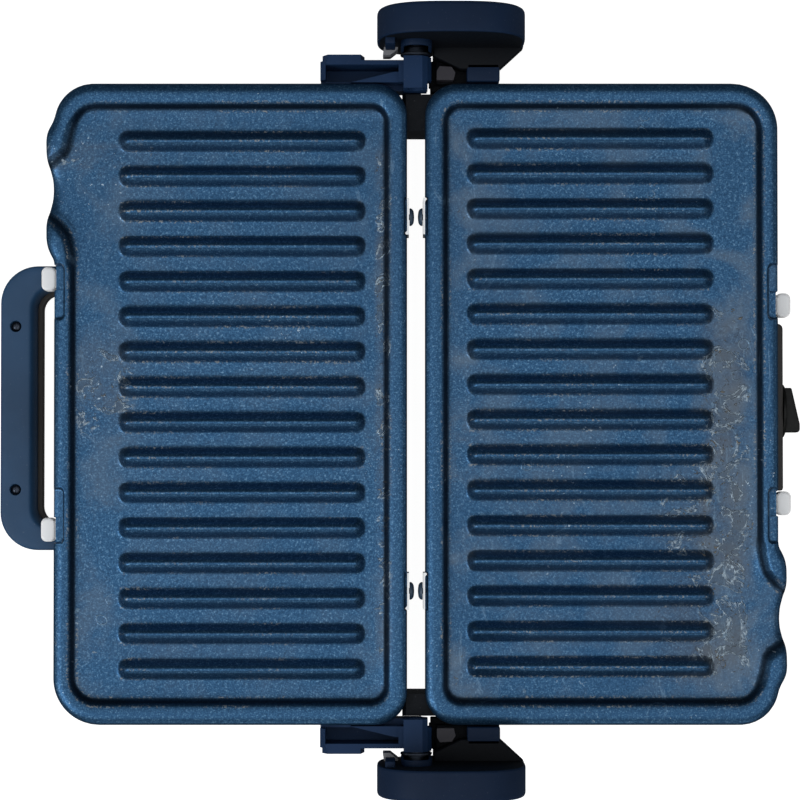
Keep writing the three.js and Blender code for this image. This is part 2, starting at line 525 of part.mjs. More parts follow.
// handle: two shells screwed together, with arms into the lid housing
{
  const half = HANDLE_HALF;
  const uOut = 232;          // outer face of the bar, from the axis
  const uIn = 209.6;         // inner face of the bar
  const outline = (inset) => {
    const out = [];
    const r = 20 - inset;
    const x = uOut - inset;
    const h = half - inset;
    out.push(V(176 + inset, h));
    for (let i = 6; i >= 0; i -= 1) out.push(V(x - r + r * Math.cos((Math.PI / 2) * (i / 6)), h - r + r * Math.sin((Math.PI / 2) * (i / 6))));
    for (let i = 0; i <= 6; i += 1) out.push(V(x - r + r * Math.cos((Math.PI / 2) * (i / 6)), -h + r - r * Math.sin((Math.PI / 2) * (i / 6))));
    out.push(V(176 + inset, -h));
    const ri = 9 + inset;
    const xi = uIn + inset;
    const hi = 64 + inset;
    out.push(V(176 + inset, -hi));
    for (let i = 0; i <= 4; i += 1) out.push(V(xi - ri + ri * Math.sin((Math.PI / 2) * (i / 4)), -hi + ri - ri * Math.cos((Math.PI / 2) * (i / 4))));
    for (let i = 4; i >= 0; i -= 1) out.push(V(xi - ri + ri * Math.sin((Math.PI / 2) * (i / 4)), hi - ri + ri * Math.cos((Math.PI / 2) * (i / 4))));
    out.push(V(176 + inset, hi));
    return out;
  };
  // everything but the tenons stops short of the drafted housing wall
  const wall = shell(184, 5.6).outer.translate([0.4, 0, 0]);
  const clear = wall.subtract(solid(box(160, 199, HANDLE_Y + 65.2, HANDLE_Y + 77.6, 18.6, 35))).subtract(solid(box(160, 199, HANDLE_Y - 77.6, HANDLE_Y - 65.2, 18.6, 35)));
  let inner = solid(slab(outline(0), 26.2, 37.4, 1.8, 1).translate(0, HANDLE_Y, 0)).subtract(clear);
  let outerShell = solid(slab(outline(0), 14.6, 25.9, 2.2, 1).translate(0, HANDLE_Y, 0)).subtract(clear);
  for (const y of [HANDLE_Y + 45.6, HANDLE_Y - 45.6]) {
    inner = inner.subtract(solid(cylZ(3.1, 33.4, 39, 223.4, y, 12))).subtract(solid(cylZ(1.7, 20, 39, 223.4, y, 8)));
    outerShell = outerShell.subtract(solid(cylZ(1.7, 19.5, 30, 223.4, y, 8)));
  }
  lid.add(piece('handle_inner_shell', inner, BLACK));
  lid.add(piece('handle_outer_shell', outerShell, BLACK));
  for (const [name, y] of [['handle_screw_left', HANDLE_Y - 45.6], ['handle_screw_right', HANDLE_Y + 45.6]]) {
    const prof = [[0, 0], [1.3, 0.4], [1.3, 12.4], [2.7, 12.4], [2.5, 14.4], [0, 14.8]].map((q) => V(q[0], q[1]));
    const g = new THREE.LatheGeometry(prof, 8);
    g.rotateX(Math.PI / 2);
    g.translate(223.4, y, 21.3);
    lid.add(piece(name, g, STEEL));
  }
}

for (const s of [1, -1]) {
  const side = s > 0 ? 'right' : 'left';
  lid.add(piece('lid_button_' + side, button('x', s * LID_BUTTON_Y).geometry, IVORY));
}
for (const s of [1, -1]) {
  const side = s > 0 ? 'left' : 'right';
  base.add(piece('base_button_' + side, button('x', s * BASE_BUTTON_Y).geometry, IVORY));
}

// ---- lid arms and hinge carriage, both sides ------------------------------------
for (const s of [1, -1]) {
  const side = s > 0 ? 'left' : 'right';
  // channel-shaped arm from the lid's side to the knuckle
  let a = solid(slabY([V(-51.8, 33), V(-6.6, 33), V(-6.6, 61.3), V(-49.2, 61.3), V(-52.8, 55)], s * 176.9, s * 188.9));
  a = a.add(solid(slabY([V(-50.6, 46), V(-31, 46), V(-28.4, 52), V(-30.4, 61.3), V(-48.6, 61.3), V(-51.6, 55.6)], s * 188.8, s * 191.9)));
  a = a.subtract(solid(slab([V(-49.8, s * 178.2), V(-9.4, s * 178.2), V(-9.4, s * 186.4), V(-49.8, s * 186.4)], 38, 64)));
  a = a.subtract(solid(box(-60, -9.4, s * 176, s * 178.4, 52, 64)));
  // web that thickens towards the knuckle
  a = a.add(solid(slab([V(-36, s * 177.2), V(-9.2, s * 177.2), V(-9.2, s * 183), V(-12, s * 183)], 37, 57.5)));
  // flange against the lid housing
  a = a.add(solid(box(-46, 3, s * 173.6, s * 177, 34, 49.3)));
  a = a.add(solid(box(2, 6, s * 173.6, s * 175.5, 40, 49.3)));
  // knuckle around the pin
  let k = solid(slabY([V(-6.9, 48.4), V(3, 48.4), V(6.3, 52), V(6.3, 65), V(3.4, 67.8), V(-6.9, 67.8)], s * 172.6, s * 190.3));
  k = k.add(solid(slabY([V(3, 49.5), V(6.6, 51), V(8.4, 54), V(8.4, 60), V(5, 65.6)], s * 177.4, s * 190.3)));
  k = k.add(solid(slabY([V(-9.6, 48.4), V(-6.4, 48.4), V(-6.4, 61.3), V(-9.6, 61.3)], s * 177, s * 188.9)));
  a = a.add(k);
  a = a.subtract(solid(cylY(PIN_R + 0.4, s * 168, s * 194, 0, HINGE_Z, 16)));
  root.add(piece('lid_arm_' + side, a, BLACK));
  // shouldered pin that rises with the lid
  const prof = [[0, 174], [PIN_R, 174], [PIN_R, 190.7], [8.6, 190.7], [8.6, 192], [6.3, 192], [6.3, 195.2], [PIN_R, 195.2], [PIN_R, 204.6], [0, 204.6]].map((q) => V(q[0], q[1]));
  const g = new THREE.LatheGeometry(prof, 16);
  if (s < 0) g.rotateX(Math.PI);
  g.translate(0, 0, HINGE_Z);
  root.add(piece('hinge_pin_' + side, g, STEEL));
  // slider that guides the pin in the bracket's slot
  const sl = solid(box(-7, 7, s * 199, s * 205, HINGE_Z - 7, HINGE_Z + 7))
    .subtract(solid(cylY(PIN_R + 0.3, s * 190, s * 210, 0, HINGE_Z, 16)));
  root.add(piece('hinge_slider_' + side, sl, GREY));
}

export default root;
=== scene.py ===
import math
import random

import bpy
import bmesh
import numpy as np
from mathutils import Vector, Matrix


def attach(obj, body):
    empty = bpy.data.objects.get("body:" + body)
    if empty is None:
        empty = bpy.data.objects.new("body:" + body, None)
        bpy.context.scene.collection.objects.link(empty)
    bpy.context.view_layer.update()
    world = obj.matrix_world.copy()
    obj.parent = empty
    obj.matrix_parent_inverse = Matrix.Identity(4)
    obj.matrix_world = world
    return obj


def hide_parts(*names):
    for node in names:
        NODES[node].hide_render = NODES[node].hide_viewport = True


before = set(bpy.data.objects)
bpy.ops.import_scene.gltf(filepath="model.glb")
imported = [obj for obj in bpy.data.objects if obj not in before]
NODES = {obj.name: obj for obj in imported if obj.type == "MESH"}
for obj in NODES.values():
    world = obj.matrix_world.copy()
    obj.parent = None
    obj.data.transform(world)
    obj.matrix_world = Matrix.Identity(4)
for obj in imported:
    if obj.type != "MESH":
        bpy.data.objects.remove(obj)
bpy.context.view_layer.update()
scene = bpy.context.scene

# ---------------------------------------------------------------- dimensions
HX = 8.5            # hinge axis X, mm
HZ = 62.0           # hinge axis Z, mm
RIM = 61.8          # plate rim top, mm
FLOOR = 54.8        # cooking floor, mm
NEAR, FAR, HALF = 4.95, 199.1, 176.4
R_OUT, R_WIDE, R_SPOUT = 18.0, 25.5, 21.5
PITCH, RIB0, NRIB = 19.377, 146.0, 16


# ------------------------------------------------------------------ helpers
def add_object(name, verts, faces, smooth=True, scale=0.001):
    me = bpy.data.meshes.new(name)
    me.from_pydata([tuple(float(c) * scale for c in v) for v in verts], [], faces)
    me.validate(verbose=False)
    me.update()
    if smooth:
        me.polygons.foreach_set("use_smooth", [True] * len(me.polygons))
    ob = bpy.data.objects.new(name, me)
    scene.collection.objects.link(ob)
    return ob


def recalc(ob):
    bm = bmesh.new()
    bm.from_mesh(ob.data)
    bmesh.ops.recalc_face_normals(bm, faces=bm.faces)
    bm.to_mesh(ob.data)
    bm.free()
    ob.data.update()
    return ob


def smooth_group():
    g = bpy.data.node_groups.get("smooth_by_angle")
    if g:
        return g
    g = bpy.data.node_groups.new("smooth_by_angle", "GeometryNodeTree")
    g.interface.new_socket("Geometry", in_out="INPUT", socket_type="NodeSocketGeometry")
    g.interface.new_socket("Angle", in_out="INPUT", socket_type="NodeSocketFloat")
    g.interface.new_socket("Geometry", in_out="OUTPUT", socket_type="NodeSocketGeometry")
    n = g.nodes
    i, o = n.new("NodeGroupInput"), n.new("NodeGroupOutput")
    f = n.new("GeometryNodeSetShadeSmooth")
    f.domain = "FACE"
    f.inputs["Shade Smooth"].default_value = True
    e = n.new("GeometryNodeSetShadeSmooth")
    e.domain = "EDGE"
    e.inputs["Shade Smooth"].default_value = False
    a = n.new("GeometryNodeInputMeshEdgeAngle")
    c = n.new("FunctionNodeCompare")
    c.data_type = "FLOAT"
    c.operation = "GREATER_THAN"
    g.links.new(i.outputs["Geometry"], f.inputs["Geometry"])
    g.links.new(f.outputs["Geometry"], e.inputs["Geometry"])
    g.links.new(a.outputs["Unsigned Angle"], c.inputs[0])
    g.links.new(i.outputs["Angle"], c.inputs[1])
    g.links.new(c.outputs["Result"], e.inputs["Selection"])
    g.links.new(e.outputs["Geometry"], o.inputs["Geometry"])
    return g


def shade(ob, angle=32.0):
    """Smooth shading that keeps edges sharper than angle."""
    m = ob.modifiers.new("smooth", "NODES")
    m.node_group = smooth_group()
    for item in m.node_group.interface.items_tree:
        if item.name == "Angle":
            m[item.identifier] = math.radians(angle)
    return m


def soften(ob, width=0.6, segments=2, angle=30.0, merge=True):
    """Rounds the hard edges of a piece: flat faces joined, edges bevelled, then shaded smooth."""
    if merge:
        d = ob.modifiers.new("merge", "DECIMATE")
        d.decimate_type = "DISSOLVE"
        d.angle_limit = math.radians(0.6)
    b = ob.modifiers.new("round", "BEVEL")
    b.width = width / 1000
    b.segments = segments
    b.limit_method = "ANGLE"
    b.angle_limit = math.radians(angle)
    b.use_clamp_overlap = True
    b.miter_outer = "MITER_ARC"
    shade(ob, 38.0)


def bake_modifiers(ob):
    """Replaces a new piece's mesh with its evaluated one."""
    bpy.context.view_layer.update()
    dg = bpy.context.evaluated_depsgraph_get()
    me = bpy.data.meshes.new_from_object(ob.evaluated_get(dg))
    ob.modifiers.clear()
    ob.data = me
    return ob


def arc_pts(cx, cy, r, a0, a1, n):
    return [(cx + r * math.cos(math.radians(a0 + (a1 - a0) * i / n)),
             cy + r * math.sin(math.radians(a0 + (a1 - a0) * i / n))) for i in range(n + 1)]


def rounded(x0, x1, y0, y1, r, n=8):
    out = []
    out += arc_pts(x1 - r, y1 - r, r, 0, 90, n)
    out += arc_pts(x0 + r, y1 - r, r, 90, 180, n)
    out += arc_pts(x0 + r, y0 + r, r, 180, 270, n)
    out += arc_pts(x1 - r, y0 + r, r, 270, 360, n)
    return out


def prism(name, pts, z0, z1, axis="Z"):
    """A closed extrusion of an outline along Z, Y or X."""
    n = len(pts)
    area = sum(pts[i][0] * pts[(i + 1) % n][1] - pts[(i + 1) % n][0] * pts[i][1] for i in range(n))
    if area < 0:
        pts = pts[::-1]

    def put(p, h):
        if axis == "Z":
            return (p[0], p[1], h)
        if axis == "Y":
            return (p[0], h, p[1])
        return (h, p[0], p[1])

    v = [put(p, z0) for p in pts] + [put(p, z1) for p in pts]
    f = [tuple(range(n))[::-1], tuple(range(n, 2 * n))]
    f += [(i, (i + 1) % n, n + (i + 1) % n, n + i) for i in range(n)]
    ob = add_object(name, v, f, smooth=False)
    return recalc(ob)


def lathe(name, prof, centre, axis="Z", n=48):
    """A closed turning of (radius, height) points about an axis through centre."""
    v, f = [], []
    rings = []
    for r, h in prof:
        if r < 1e-6:
            rings.append([len(v)])
            v.append((0.0, 0.0, h))
        else:
            ring = []
            for i in range(n):
                a = 2 * math.pi * i / n
                ring.append(len(v))
                v.append((r * math.cos(a), r * math.sin(a), h))
            rings.append(ring)
    for a, b in zip(rings, rings[1:]):
        if len(a) == 1 and len(b) == 1:
            continue
        for i in range(n):
            j = (i + 1) % n
            if len(a) == 1:
                f.append((a[0], b[j], b[i]))
            elif len(b) == 1:
                f.append((a[i], a[j], b[0]))
            else:
                f.append((a[i], a[j], b[j], b[i]))
    out = []
    for x, y, z in v:
        if axis == "Z":
            p = (x, y, z)
        elif axis == "X":
            p = (z, x, y)
        elif axis == "-X":
            p = (-z, x, -y)
        elif axis == "Y":
            p = (y, z, x)
        else:
            p = (-y, -z, x)
        out.append((p[0] + centre[0], p[1] + centre[1], p[2] + centre[2]))
    return recalc(add_object(name, out, f))


def cut(ob, *cutters, op="DIFFERENCE"):
    for c in cutters:
        m = ob.modifiers.new("cut", "BOOLEAN")
        m.operation = op
        m.solver = "EXACT"
        m.object = c
    bake_modifiers(ob)
    for c in cutters:
        bpy.data.objects.remove(c, do_unlink=True)
    return ob


def join(name, *obs):
    """Several closed pieces of one moulding as one mesh."""
    bm = bmesh.new()
    for o in obs:
        bm.from_mesh(o.data)
    me = bpy.data.meshes.new(name)
    bm.to_mesh(me)
    bm.free()
    for o in obs:
        bpy.data.objects.remove(o, do_unlink=True)
    ob = bpy.data.objects.new(name, me)
    scene.collection.objects.link(ob)
    return ob


def dress(ob, material, body, node=None):
    ob.data.materials.clear()
    ob.data.materials.append(material)
    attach(ob, body)
    if node:
        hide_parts(*([node] if isinstance(node, str) else node))
    return ob


def paint(node, material):
    ob = NODES[node]
    ob.data.materials.clear()
    ob.data.materials.append(material)
    for s in ob.material_slots:
        s.material = material
    return ob


# ---------------------------------------------------------------- materials
class Mat:
    def __init__(self, name):
        self.m = bpy.data.materials.new(name)
        self.m.use_nodes = True
        self.t = self.m.node_tree
        self.n = self.t.nodes
        self.b = self.n["Principled BSDF"]
        self.tc = self.n.new("ShaderNodeTexCoord")

    def link(self, a, b):
        self.t.links.new(a, b)

    def set(self, **kw):
        names = {"metallic": "Metallic", "rough": "Roughness", "spec": "Specular IOR Level", "coat": "Coat Weight",
                 "coat_rough": "Coat Roughness", "ior": "IOR", "trans": "Transmission Weight", "sheen": "Sheen Weight", "alpha": "Alpha"}
        for k, v in kw.items():
            self.b.inputs[names[k]].default_value = v
        return self

    def colour(self, c):
        self.b.inputs["Base Color"].default_value = (*c, 1)
        return self

    def mapping(self, scale=(1, 1, 1), rot=(0, 0, 0)):
        mp = self.n.new("ShaderNodeMapping")
        mp.inputs["Scale"].default_value = scale
        mp.inputs["Rotation"].default_value = rot
        self.link(self.tc.outputs["Object"], mp.inputs["Vector"])
        return mp.outputs["Vector"]

    def noise(self, scale, detail=2.0, rough=0.5, vec=None, dist=0.0):
        t = self.n.new("ShaderNodeTexNoise")
        t.inputs["Scale"].default_value = scale
        t.inputs["Detail"].default_value = detail
        t.inputs["Roughness"].default_value = rough
        t.inputs["Distortion"].default_value = dist
        self.link(vec or self.tc.outputs["Object"], t.inputs["Vector"])
        return t.outputs["Fac"]

    def voronoi(self, scale, feature="F1", vec=None, out="Distance", rand=1.0):
        t = self.n.new("ShaderNodeTexVoronoi")
        t.feature = feature
        t.inputs["Scale"].default_value = scale
        t.inputs["Randomness"].default_value = rand
        self.link(vec or self.tc.outputs["Object"], t.inputs["Vector"])
        return t.outputs[out]

    def ramp(self, fac, stops, interp="LINEAR"):
        r = self.n.new("ShaderNodeValToRGB")
        r.color_ramp.interpolation = interp
        els = r.color_ramp.elements
        while len(els) > len(stops):
            els.remove(els[-1])
        while len(els) < len(stops):
            els.new(0.5)
        for e, (p, c) in zip(els, stops):
            e.position = p
            e.color = (c, c, c, 1) if isinstance(c, (int, float)) else (*c, 1)
        self.link(fac, r.inputs["Fac"])
        return r.outputs["Color"]

    def math(self, op, a, b=None, clamp=False):
        m = self.n.new("ShaderNodeMath")
        m.operation = op
        m.use_clamp = clamp
        for i, v in enumerate([a, b]):
            if v is None:
                continue
            if isinstance(v, (int, float)):
                m.inputs[i].default_value = v
            else:
                self.link(v, m.inputs[i])
        return m.outputs[0]

    def mix(self, fac, a, b, mode="MIX"):
        m = self.n.new("ShaderNodeMix")
        m.data_type = "RGBA"
        m.blend_type = mode
        for sock, v in ((m.inputs[0], fac), (m.inputs[6], a), (m.inputs[7], b)):
            if isinstance(v, (int, float)):
                sock.default_value = v
            elif isinstance(v, tuple):
                sock.default_value = (*v, 1)
            else:
                self.link(v, sock)
        return m.outputs[2]

    def bump(self, height, strength=0.2, distance=0.0003, base=None):
        b = self.n.new("ShaderNodeBump")
        b.inputs["Strength"].default_value = strength
        b.inputs["Distance"].default_value = distance
        self.link(height, b.inputs["Height"])
        if base is not None:
            self.link(base, b.inputs["Normal"])
        return b.outputs["Normal"]

    def out(self, colour=None, rough=None, normal=None, metallic=None):
        if colour is not None:
            self.link(colour, self.b.inputs["Base Color"])
        if rough is not None:
            self.link(rough, self.b.inputs["Roughness"])
        if normal is not None:
            self.link(normal, self.b.inputs["Normal"])
        if metallic is not None:
            self.link(metallic, self.b.inputs["Metallic"])
        return self.m


def coat_material():
    """Blue-black non-stick coat: fine flecks, a patchy film of grease, dried drops and rub marks."""
    m = Mat("nonstick_coat").set(metallic=0.82, spec=0.4)
    speck = m.noise(1250, 1.5, 0.6)
    speck2 = m.noise(620, 2.0, 0.55)
    cloud = m.noise(9, 3.0, 0.6)
    both = m.math("ADD", m.math("MULTIPLY", speck, 0.6), m.math("MULTIPLY", speck2, 0.4))
    base = m.ramp(both, [(0.36, (0.017, 0.056, 0.118)), (0.50, (0.028, 0.090, 0.184)), (0.58, (0.049, 0.134, 0.246)), (0.66, (0.132, 0.248, 0.375))])
    base = m.mix(m.ramp(cloud, [(0.35, 0.0), (0.75, 0.45)]), base, (0.020, 0.062, 0.130))
    stain = m.n.new("ShaderNodeAttribute")
    stain.attribute_name = "stain"
    st = stain.outputs["Fac"]
    wet_at = m.n.new("ShaderNodeAttribute")
    wet_at.attribute_name = "wet"
    wt = wet_at.outputs["Fac"]
    flat = m.mapping((1, 1, 0.02))
    # greyish film, heavier where the stain attribute is high
    patch = m.noise(30, 4.0, 0.6, flat, 0.4)
    film = m.math("MULTIPLY", m.ramp(patch, [(0.44, 0.0), (0.62, 1.0)]), st, True)
    base = m.mix(m.math("MULTIPLY", film, 0.52), base, (0.118, 0.152, 0.186))
    base = m.mix(m.math("MULTIPLY", wt, m.ramp(m.noise(24, 4.0, 0.6, flat, 0.6), [(0.40, 0.08), (0.60, 0.55)])), base, (0.106, 0.106, 0.104))
    # pools of grease: glossy inside, with a pale dried outline
    pool = m.noise(62, 5.0, 0.62, flat, 0.9)
    level = m.math("ADD", pool, m.math("MULTIPLY", wt, 0.15))
    inner = m.math("MULTIPLY", m.ramp(level, [(0.665, 0.0), (0.69, 1.0)]), m.ramp(wt, [(0.1, 0.0), (0.35, 1.0)]), True)
    rim = m.math("MULTIPLY", m.ramp(level, [(0.645, 0.0), (0.668, 1.0), (0.682, 1.0), (0.700, 0.0)]), m.ramp(wt, [(0.1, 0.0), (0.35, 1.0)]), True)
    base = m.mix(m.math("MULTIPLY", inner, 0.26), base, (0.034, 0.046, 0.056))
    # pale smears drawn out along the channel
    smear = m.math("MULTIPLY", m.ramp(m.noise(150, 6.0, 0.72, m.mapping((1.0, 0.26, 0.02)), 2.4), [(0.565, 0.0), (0.62, 1.0), (0.655, 0.25), (0.70, 0.0)]),
                   m.math("MULTIPLY", wt, m.ramp(m.noise(34, 2.0, 0.5, flat), [(0.42, 0.0), (0.60, 1.0)])), True)
    base = m.mix(m.math("MULTIPLY", smear, 0.62), base, (0.20, 0.31, 0.41))
    base = m.mix(m.math("MULTIPLY", rim, m.ramp(m.noise(420, 2.0, 0.6), [(0.40, 0.15), (0.62, 0.95)])), base, (0.30, 0.37, 0.42))
    # crumbs of residue
    crumb_src = m.noise(330, 4.0, 0.7, flat, 1.0)
    crumb = m.math("MULTIPLY", m.ramp(crumb_src, [(0.62, 0.0), (0.68, 1.0)]), m.ramp(m.math("ADD", m.math("MULTIPLY", film, 0.6), wt), [(0.35, 0.0), (0.8, 1.0)]), True)
    base = m.mix(m.math("MULTIPLY", crumb, 0.75), base, (0.20, 0.165, 0.105))
    # pale specks along the feet and crests of the ribs and the edges of the rim wall: partly baked-on residue, partly
    # painted highlight
    foot_at = m.n.new("ShaderNodeAttribute")
    foot_at.attribute_name = "foot"
    ft = foot_at.outputs["Fac"]
    painted_wall_shade_at = m.n.new("ShaderNodeAttribute")
    painted_wall_shade_at.attribute_name = "painted_wall_shade"
    painted_shade_fac = painted_wall_shade_at.outputs["Fac"]
    # painted shade: the steep rim wall mixed towards near-black
    base = m.mix(m.math("MULTIPLY", painted_shade_fac, 0.78), base, (0.007, 0.011, 0.017))
    specks_and_highlight = m.math("MULTIPLY", m.ramp(m.noise(640, 3.0, 0.7, flat, 0.6), [(0.545, 0.0), (0.585, 1.0)]),
                  m.math("MULTIPLY", m.ramp(ft, [(0.25, 0.0), (0.75, 1.0)]), m.ramp(m.noise(17, 3.0, 0.6, flat), [(0.47, 0.0), (0.60, 1.0)])), True)
    base = m.mix(m.math("MULTIPLY", specks_and_highlight, 0.72), base, (0.30, 0.30, 0.275))
    # dried drops: thin pale outlines
    edge = m.voronoi(62, "F1", m.mapping((1, 1, 0.001)), "Distance")
    ring = m.ramp(m.math("ADD", edge, m.math("MULTIPLY", m.noise(160, 3.0, 0.6), 0.25)), [(0.285, 0.0), (0.305, 1.0), (0.33, 0.0)])
    pick = m.ramp(m.noise(26, 1.0, 0.5), [(0.60, 0.0), (0.63, 1.0)])
    drop = m.math("MULTIPLY", m.math("MULTIPLY", ring, pick, True), m.ramp(st, [(0.25, 0.0), (0.5, 1.0)]), True)
    base = m.mix(m.math("MULTIPLY", drop, 0.4), base, (0.22, 0.31, 0.38))
    # rub marks and spatter
    rub = m.math("MULTIPLY", m.ramp(m.noise(70, 6.0, 0.75, m.mapping((1.0, 0.30, 1.0)), 1.6), [(0.60, 0.0), (0.655, 1.0), (0.71, 0.0)]),
                 m.ramp(m.noise(9, 2.0, 0.5), [(0.54, 0.0), (0.70, 1.0)]), True)
    base = m.mix(m.math("MULTIPLY", rub, 0.4), base, (0.22, 0.36, 0.50))
    spat = m.math("MULTIPLY", m.ramp(m.noise(560, 2.0, 0.5, flat), [(0.70, 0.0), (0.73, 1.0)]), m.ramp(m.noise(14, 2.0, 0.5, flat), [(0.54, 0.0), (0.66, 1.0)]), True)
    base = m.mix(m.math("MULTIPLY", spat, 0.8), base, (0.42, 0.52, 0.60))
    rough = m.ramp(speck, [(0.35, 0.42), (0.65, 0.34)])
    rough = m.mix(m.math("MULTIPLY", film, 0.5), rough, (0.24, 0.24, 0.24))
    rough = m.mix(inner, rough, (0.17, 0.17, 0.17))
    metal = m.math("SUBTRACT", 0.82, m.math("MULTIPLY", m.math("MAXIMUM", m.math("MAXIMUM", crumb, specks_and_highlight), m.math("MULTIPLY", inner, 0.35)), 0.6))
    n1 = m.bump(speck, 0.28, 0.00012)
    wob = m.math("ADD", m.math("MULTIPLY", rim, 0.7), m.math("ADD", m.math("MULTIPLY", crumb, 1.2), m.math("MULTIPLY", m.math("MULTIPLY", inner, m.noise(300, 3.0, 0.6, flat)), 0.9)))
    n2 = m.bump(m.math("ADD", wob, m.math("MULTIPLY", drop, 0.6)), 0.6, 0.0003, n1)
    return m.out(base, rough, n2, metal)


def plastic(name, colour, rough=0.5, grain=900, depth=0.12, spec=0.45, mottle=0.15, dust=0.0):
    m = Mat(name).set(spec=spec)
    g = m.noise(grain, 2.0, 0.55)
    c = m.noise(22, 3.0, 0.6)
    dark = tuple(x * (1 - mottle) for x in colour)
    light = tuple(min(1.0, x * (1 + mottle)) for x in colour)
    col = m.ramp(c, [(0.3, dark), (0.7, light)])
    if dust:
        d = m.ramp(m.noise(640, 1.0, 0.4), [(0.735, 0.0), (0.76, 1.0)])
        col = m.mix(m.math("MULTIPLY", d, dust), col, (0.35, 0.38, 0.42))
    r = m.ramp(g, [(0.3, rough + 0.07), (0.7, rough - 0.05)])
    return m.out(col, r, m.bump(g, depth, 0.00015))


def brushed(name, colour, rough=0.3, along="Y", scratch=0.25):
    m = Mat(name).set(metallic=1.0)
    sc = (220, 2.2, 220) if along == "Y" else (2.2, 220, 220)
    g = m.noise(9, 3.0, 0.6, m.mapping(sc))
    c = m.noise(18, 2.0, 0.5)
    col = m.mix(m.ramp(g, [(0.3, 0.0), (0.7, 1.0)]), tuple(x * 0.82 for x in colour), colour)
    col = m.mix(m.ramp(c, [(0.4, 0.0), (0.8, 0.18)]), col, tuple(x * 0.7 for x in colour))
    r = m.ramp(g, [(0.25, rough + 0.12), (0.75, rough - 0.06)])
    return m.out(col, r, m.bump(g, scratch, 0.0001))


def rubber(name="rubber_black"):
    m = Mat(name).set(spec=0.3)
    g = m.noise(700, 2.0, 0.6)
    return m.out(m.ramp(m.noise(60, 3, 0.6), [(0.3, (0.012, 0.012, 0.013)), (0.7, (0.024, 0.024, 0.026))]),
                 m.ramp(g, [(0.3, 0.85), (0.7, 0.7)]), m.bump(g, 0.3, 0.0002))


COAT = coat_material()
BLACK = plastic("housing_black", (0.0040, 0.0056, 0.0088), 0.56, 950, 0.18, spec=0.18, dust=0.06)
HANDLE = plastic("handle_black", (0.0170, 0.0550, 0.1180), 0.50, 700, 0.10, spec=0.30, dust=0.08)
HANDLE_LOW = plastic("handle_black_low", (0.052, 0.046, 0.041), 0.55, 700, 0.10, spec=0.25, dust=0.05)
HINGE = plastic("hinge_black", (0.0046, 0.0142, 0.0380), 0.55, 800, 0.12, spec=0.13, dust=0.04)
ARM = plastic("arm_black", (0.0085, 0.0280, 0.0760), 0.52, 800, 0.12, spec=0.14, dust=0.04)
# painted shade: a near-black copy of the hinge plastic for the sunken neck and the drum's inner face
HINGE_PAINTED_SHADE = plastic("hinge_black_painted_shade", (0.0030, 0.0040, 0.0060), 0.60, 800, 0.12, spec=0.12)
PANEL = plastic("panel_black", (0.040, 0.037, 0.035), 0.50, 1100, 0.10, spec=0.25)
KNOB = plastic("knob_black", (0.0034, 0.0036, 0.0030), 0.42, 900, 0.08, spec=0.22)
IVORY = plastic("ivory_plastic", (0.93, 0.925, 0.91), 0.38, 700, 0.05, mottle=0.03)
GREY = plastic("grey_plastic", (0.19, 0.19, 0.20), 0.5, 600, 0.15, mottle=0.25, spec=0.3)
LEVER = plastic("lever_grey", (0.026, 0.024, 0.030), 0.5, 600, 0.15, mottle=0.25, spec=0.3)
STUD = plastic("stud_grey", (0.034, 0.058, 0.090), 0.42, 400, 0.2, mottle=0.3)
STEEL = brushed("clip_steel", (0.72, 0.72, 0.71), 0.22, "Y", 0.15)
COVER = brushed("cover_steel", (0.55, 0.55, 0.55), 0.30, "Y", 0.3)
TIN = brushed("tinplate", (0.50, 0.50, 0.48), 0.3, "Y", 0.15)
SHEATH = plastic("heater_sheath", (0.08, 0.068, 0.056), 0.45, 500, 0.2, mottle=0.35)
RUBBER = rubber()
CERAMIC = plastic("ceramic", (0.58, 0.55, 0.48), 0.7, 500, 0.2, mottle=0.08)
CABLE = plastic("cable_sleeve", (0.50, 0.47, 0.43), 0.6, 900, 0.2)
SCREW = brushed("screw_steel", (0.36, 0.37, 0.39), 0.28, "Y", 0.1)
SCREW_DARK = brushed("screw_dark", (0.055, 0.065, 0.085), 0.34, "Y", 0.1)
MARK = plastic("dial_marks", (0.62, 0.61, 0.58), 0.5, 900, 0.05, mottle=0.03)


def lens(name, colour):
    m = Mat(name).set(rough=0.12, spec=0.5, coat=0.4, coat_rough=0.05)
    c = m.noise(300, 2, 0.5)
    return m.out(m.ramp(c, [(0.3, colour), (0.7, tuple(min(1, x * 1.3) for x in colour))]), None, m.bump(c, 0.05, 0.0002))


# ------------------------------------------------------------------- camera
cam_data = bpy.data.cameras.new("camera")
cam = bpy.data.objects.new("camera", cam_data)
scene.collection.objects.link(cam)
scene.camera = cam
DIST = 1.375
cam_data.sensor_width = 36
cam_data.lens = 112.9
TILT = math.radians(1.0)
cam.location = (-0.00033, -0.0448, 0.0618 + DIST)
cam.rotation_euler = (TILT, 0, 0)
cam_data.shift_x = 0.0
cam_data.shift_y = 0.0516
cam_data.clip_start = 0.05
cam_data.clip_end = 20

# ------------------------------------------------------------------- plates
BUMP_Y = [-158.3, -155, -152.2, -149.2, -145.4, -138, -132.6, -128.2, -123.4, -118, -112.6, -107.4, -103, -97.6, -90.2, -86.2, -82.6, -80, -78.2]
BUMP_X = [0, 0.9, 2.6, 4.0, 4.6, 4.5, 3.9, 2.7, 1.6, 1.3, 1.7, 2.9, 4.0, 4.5, 4.4, 3.7, 2.3, 0.8, 0]


def bump_at(y):
    ys = np.linspace(-1.6, 1.6, 9)
    return float(np.mean([np.interp(y + d, BUMP_Y, BUMP_X) for d in ys]))


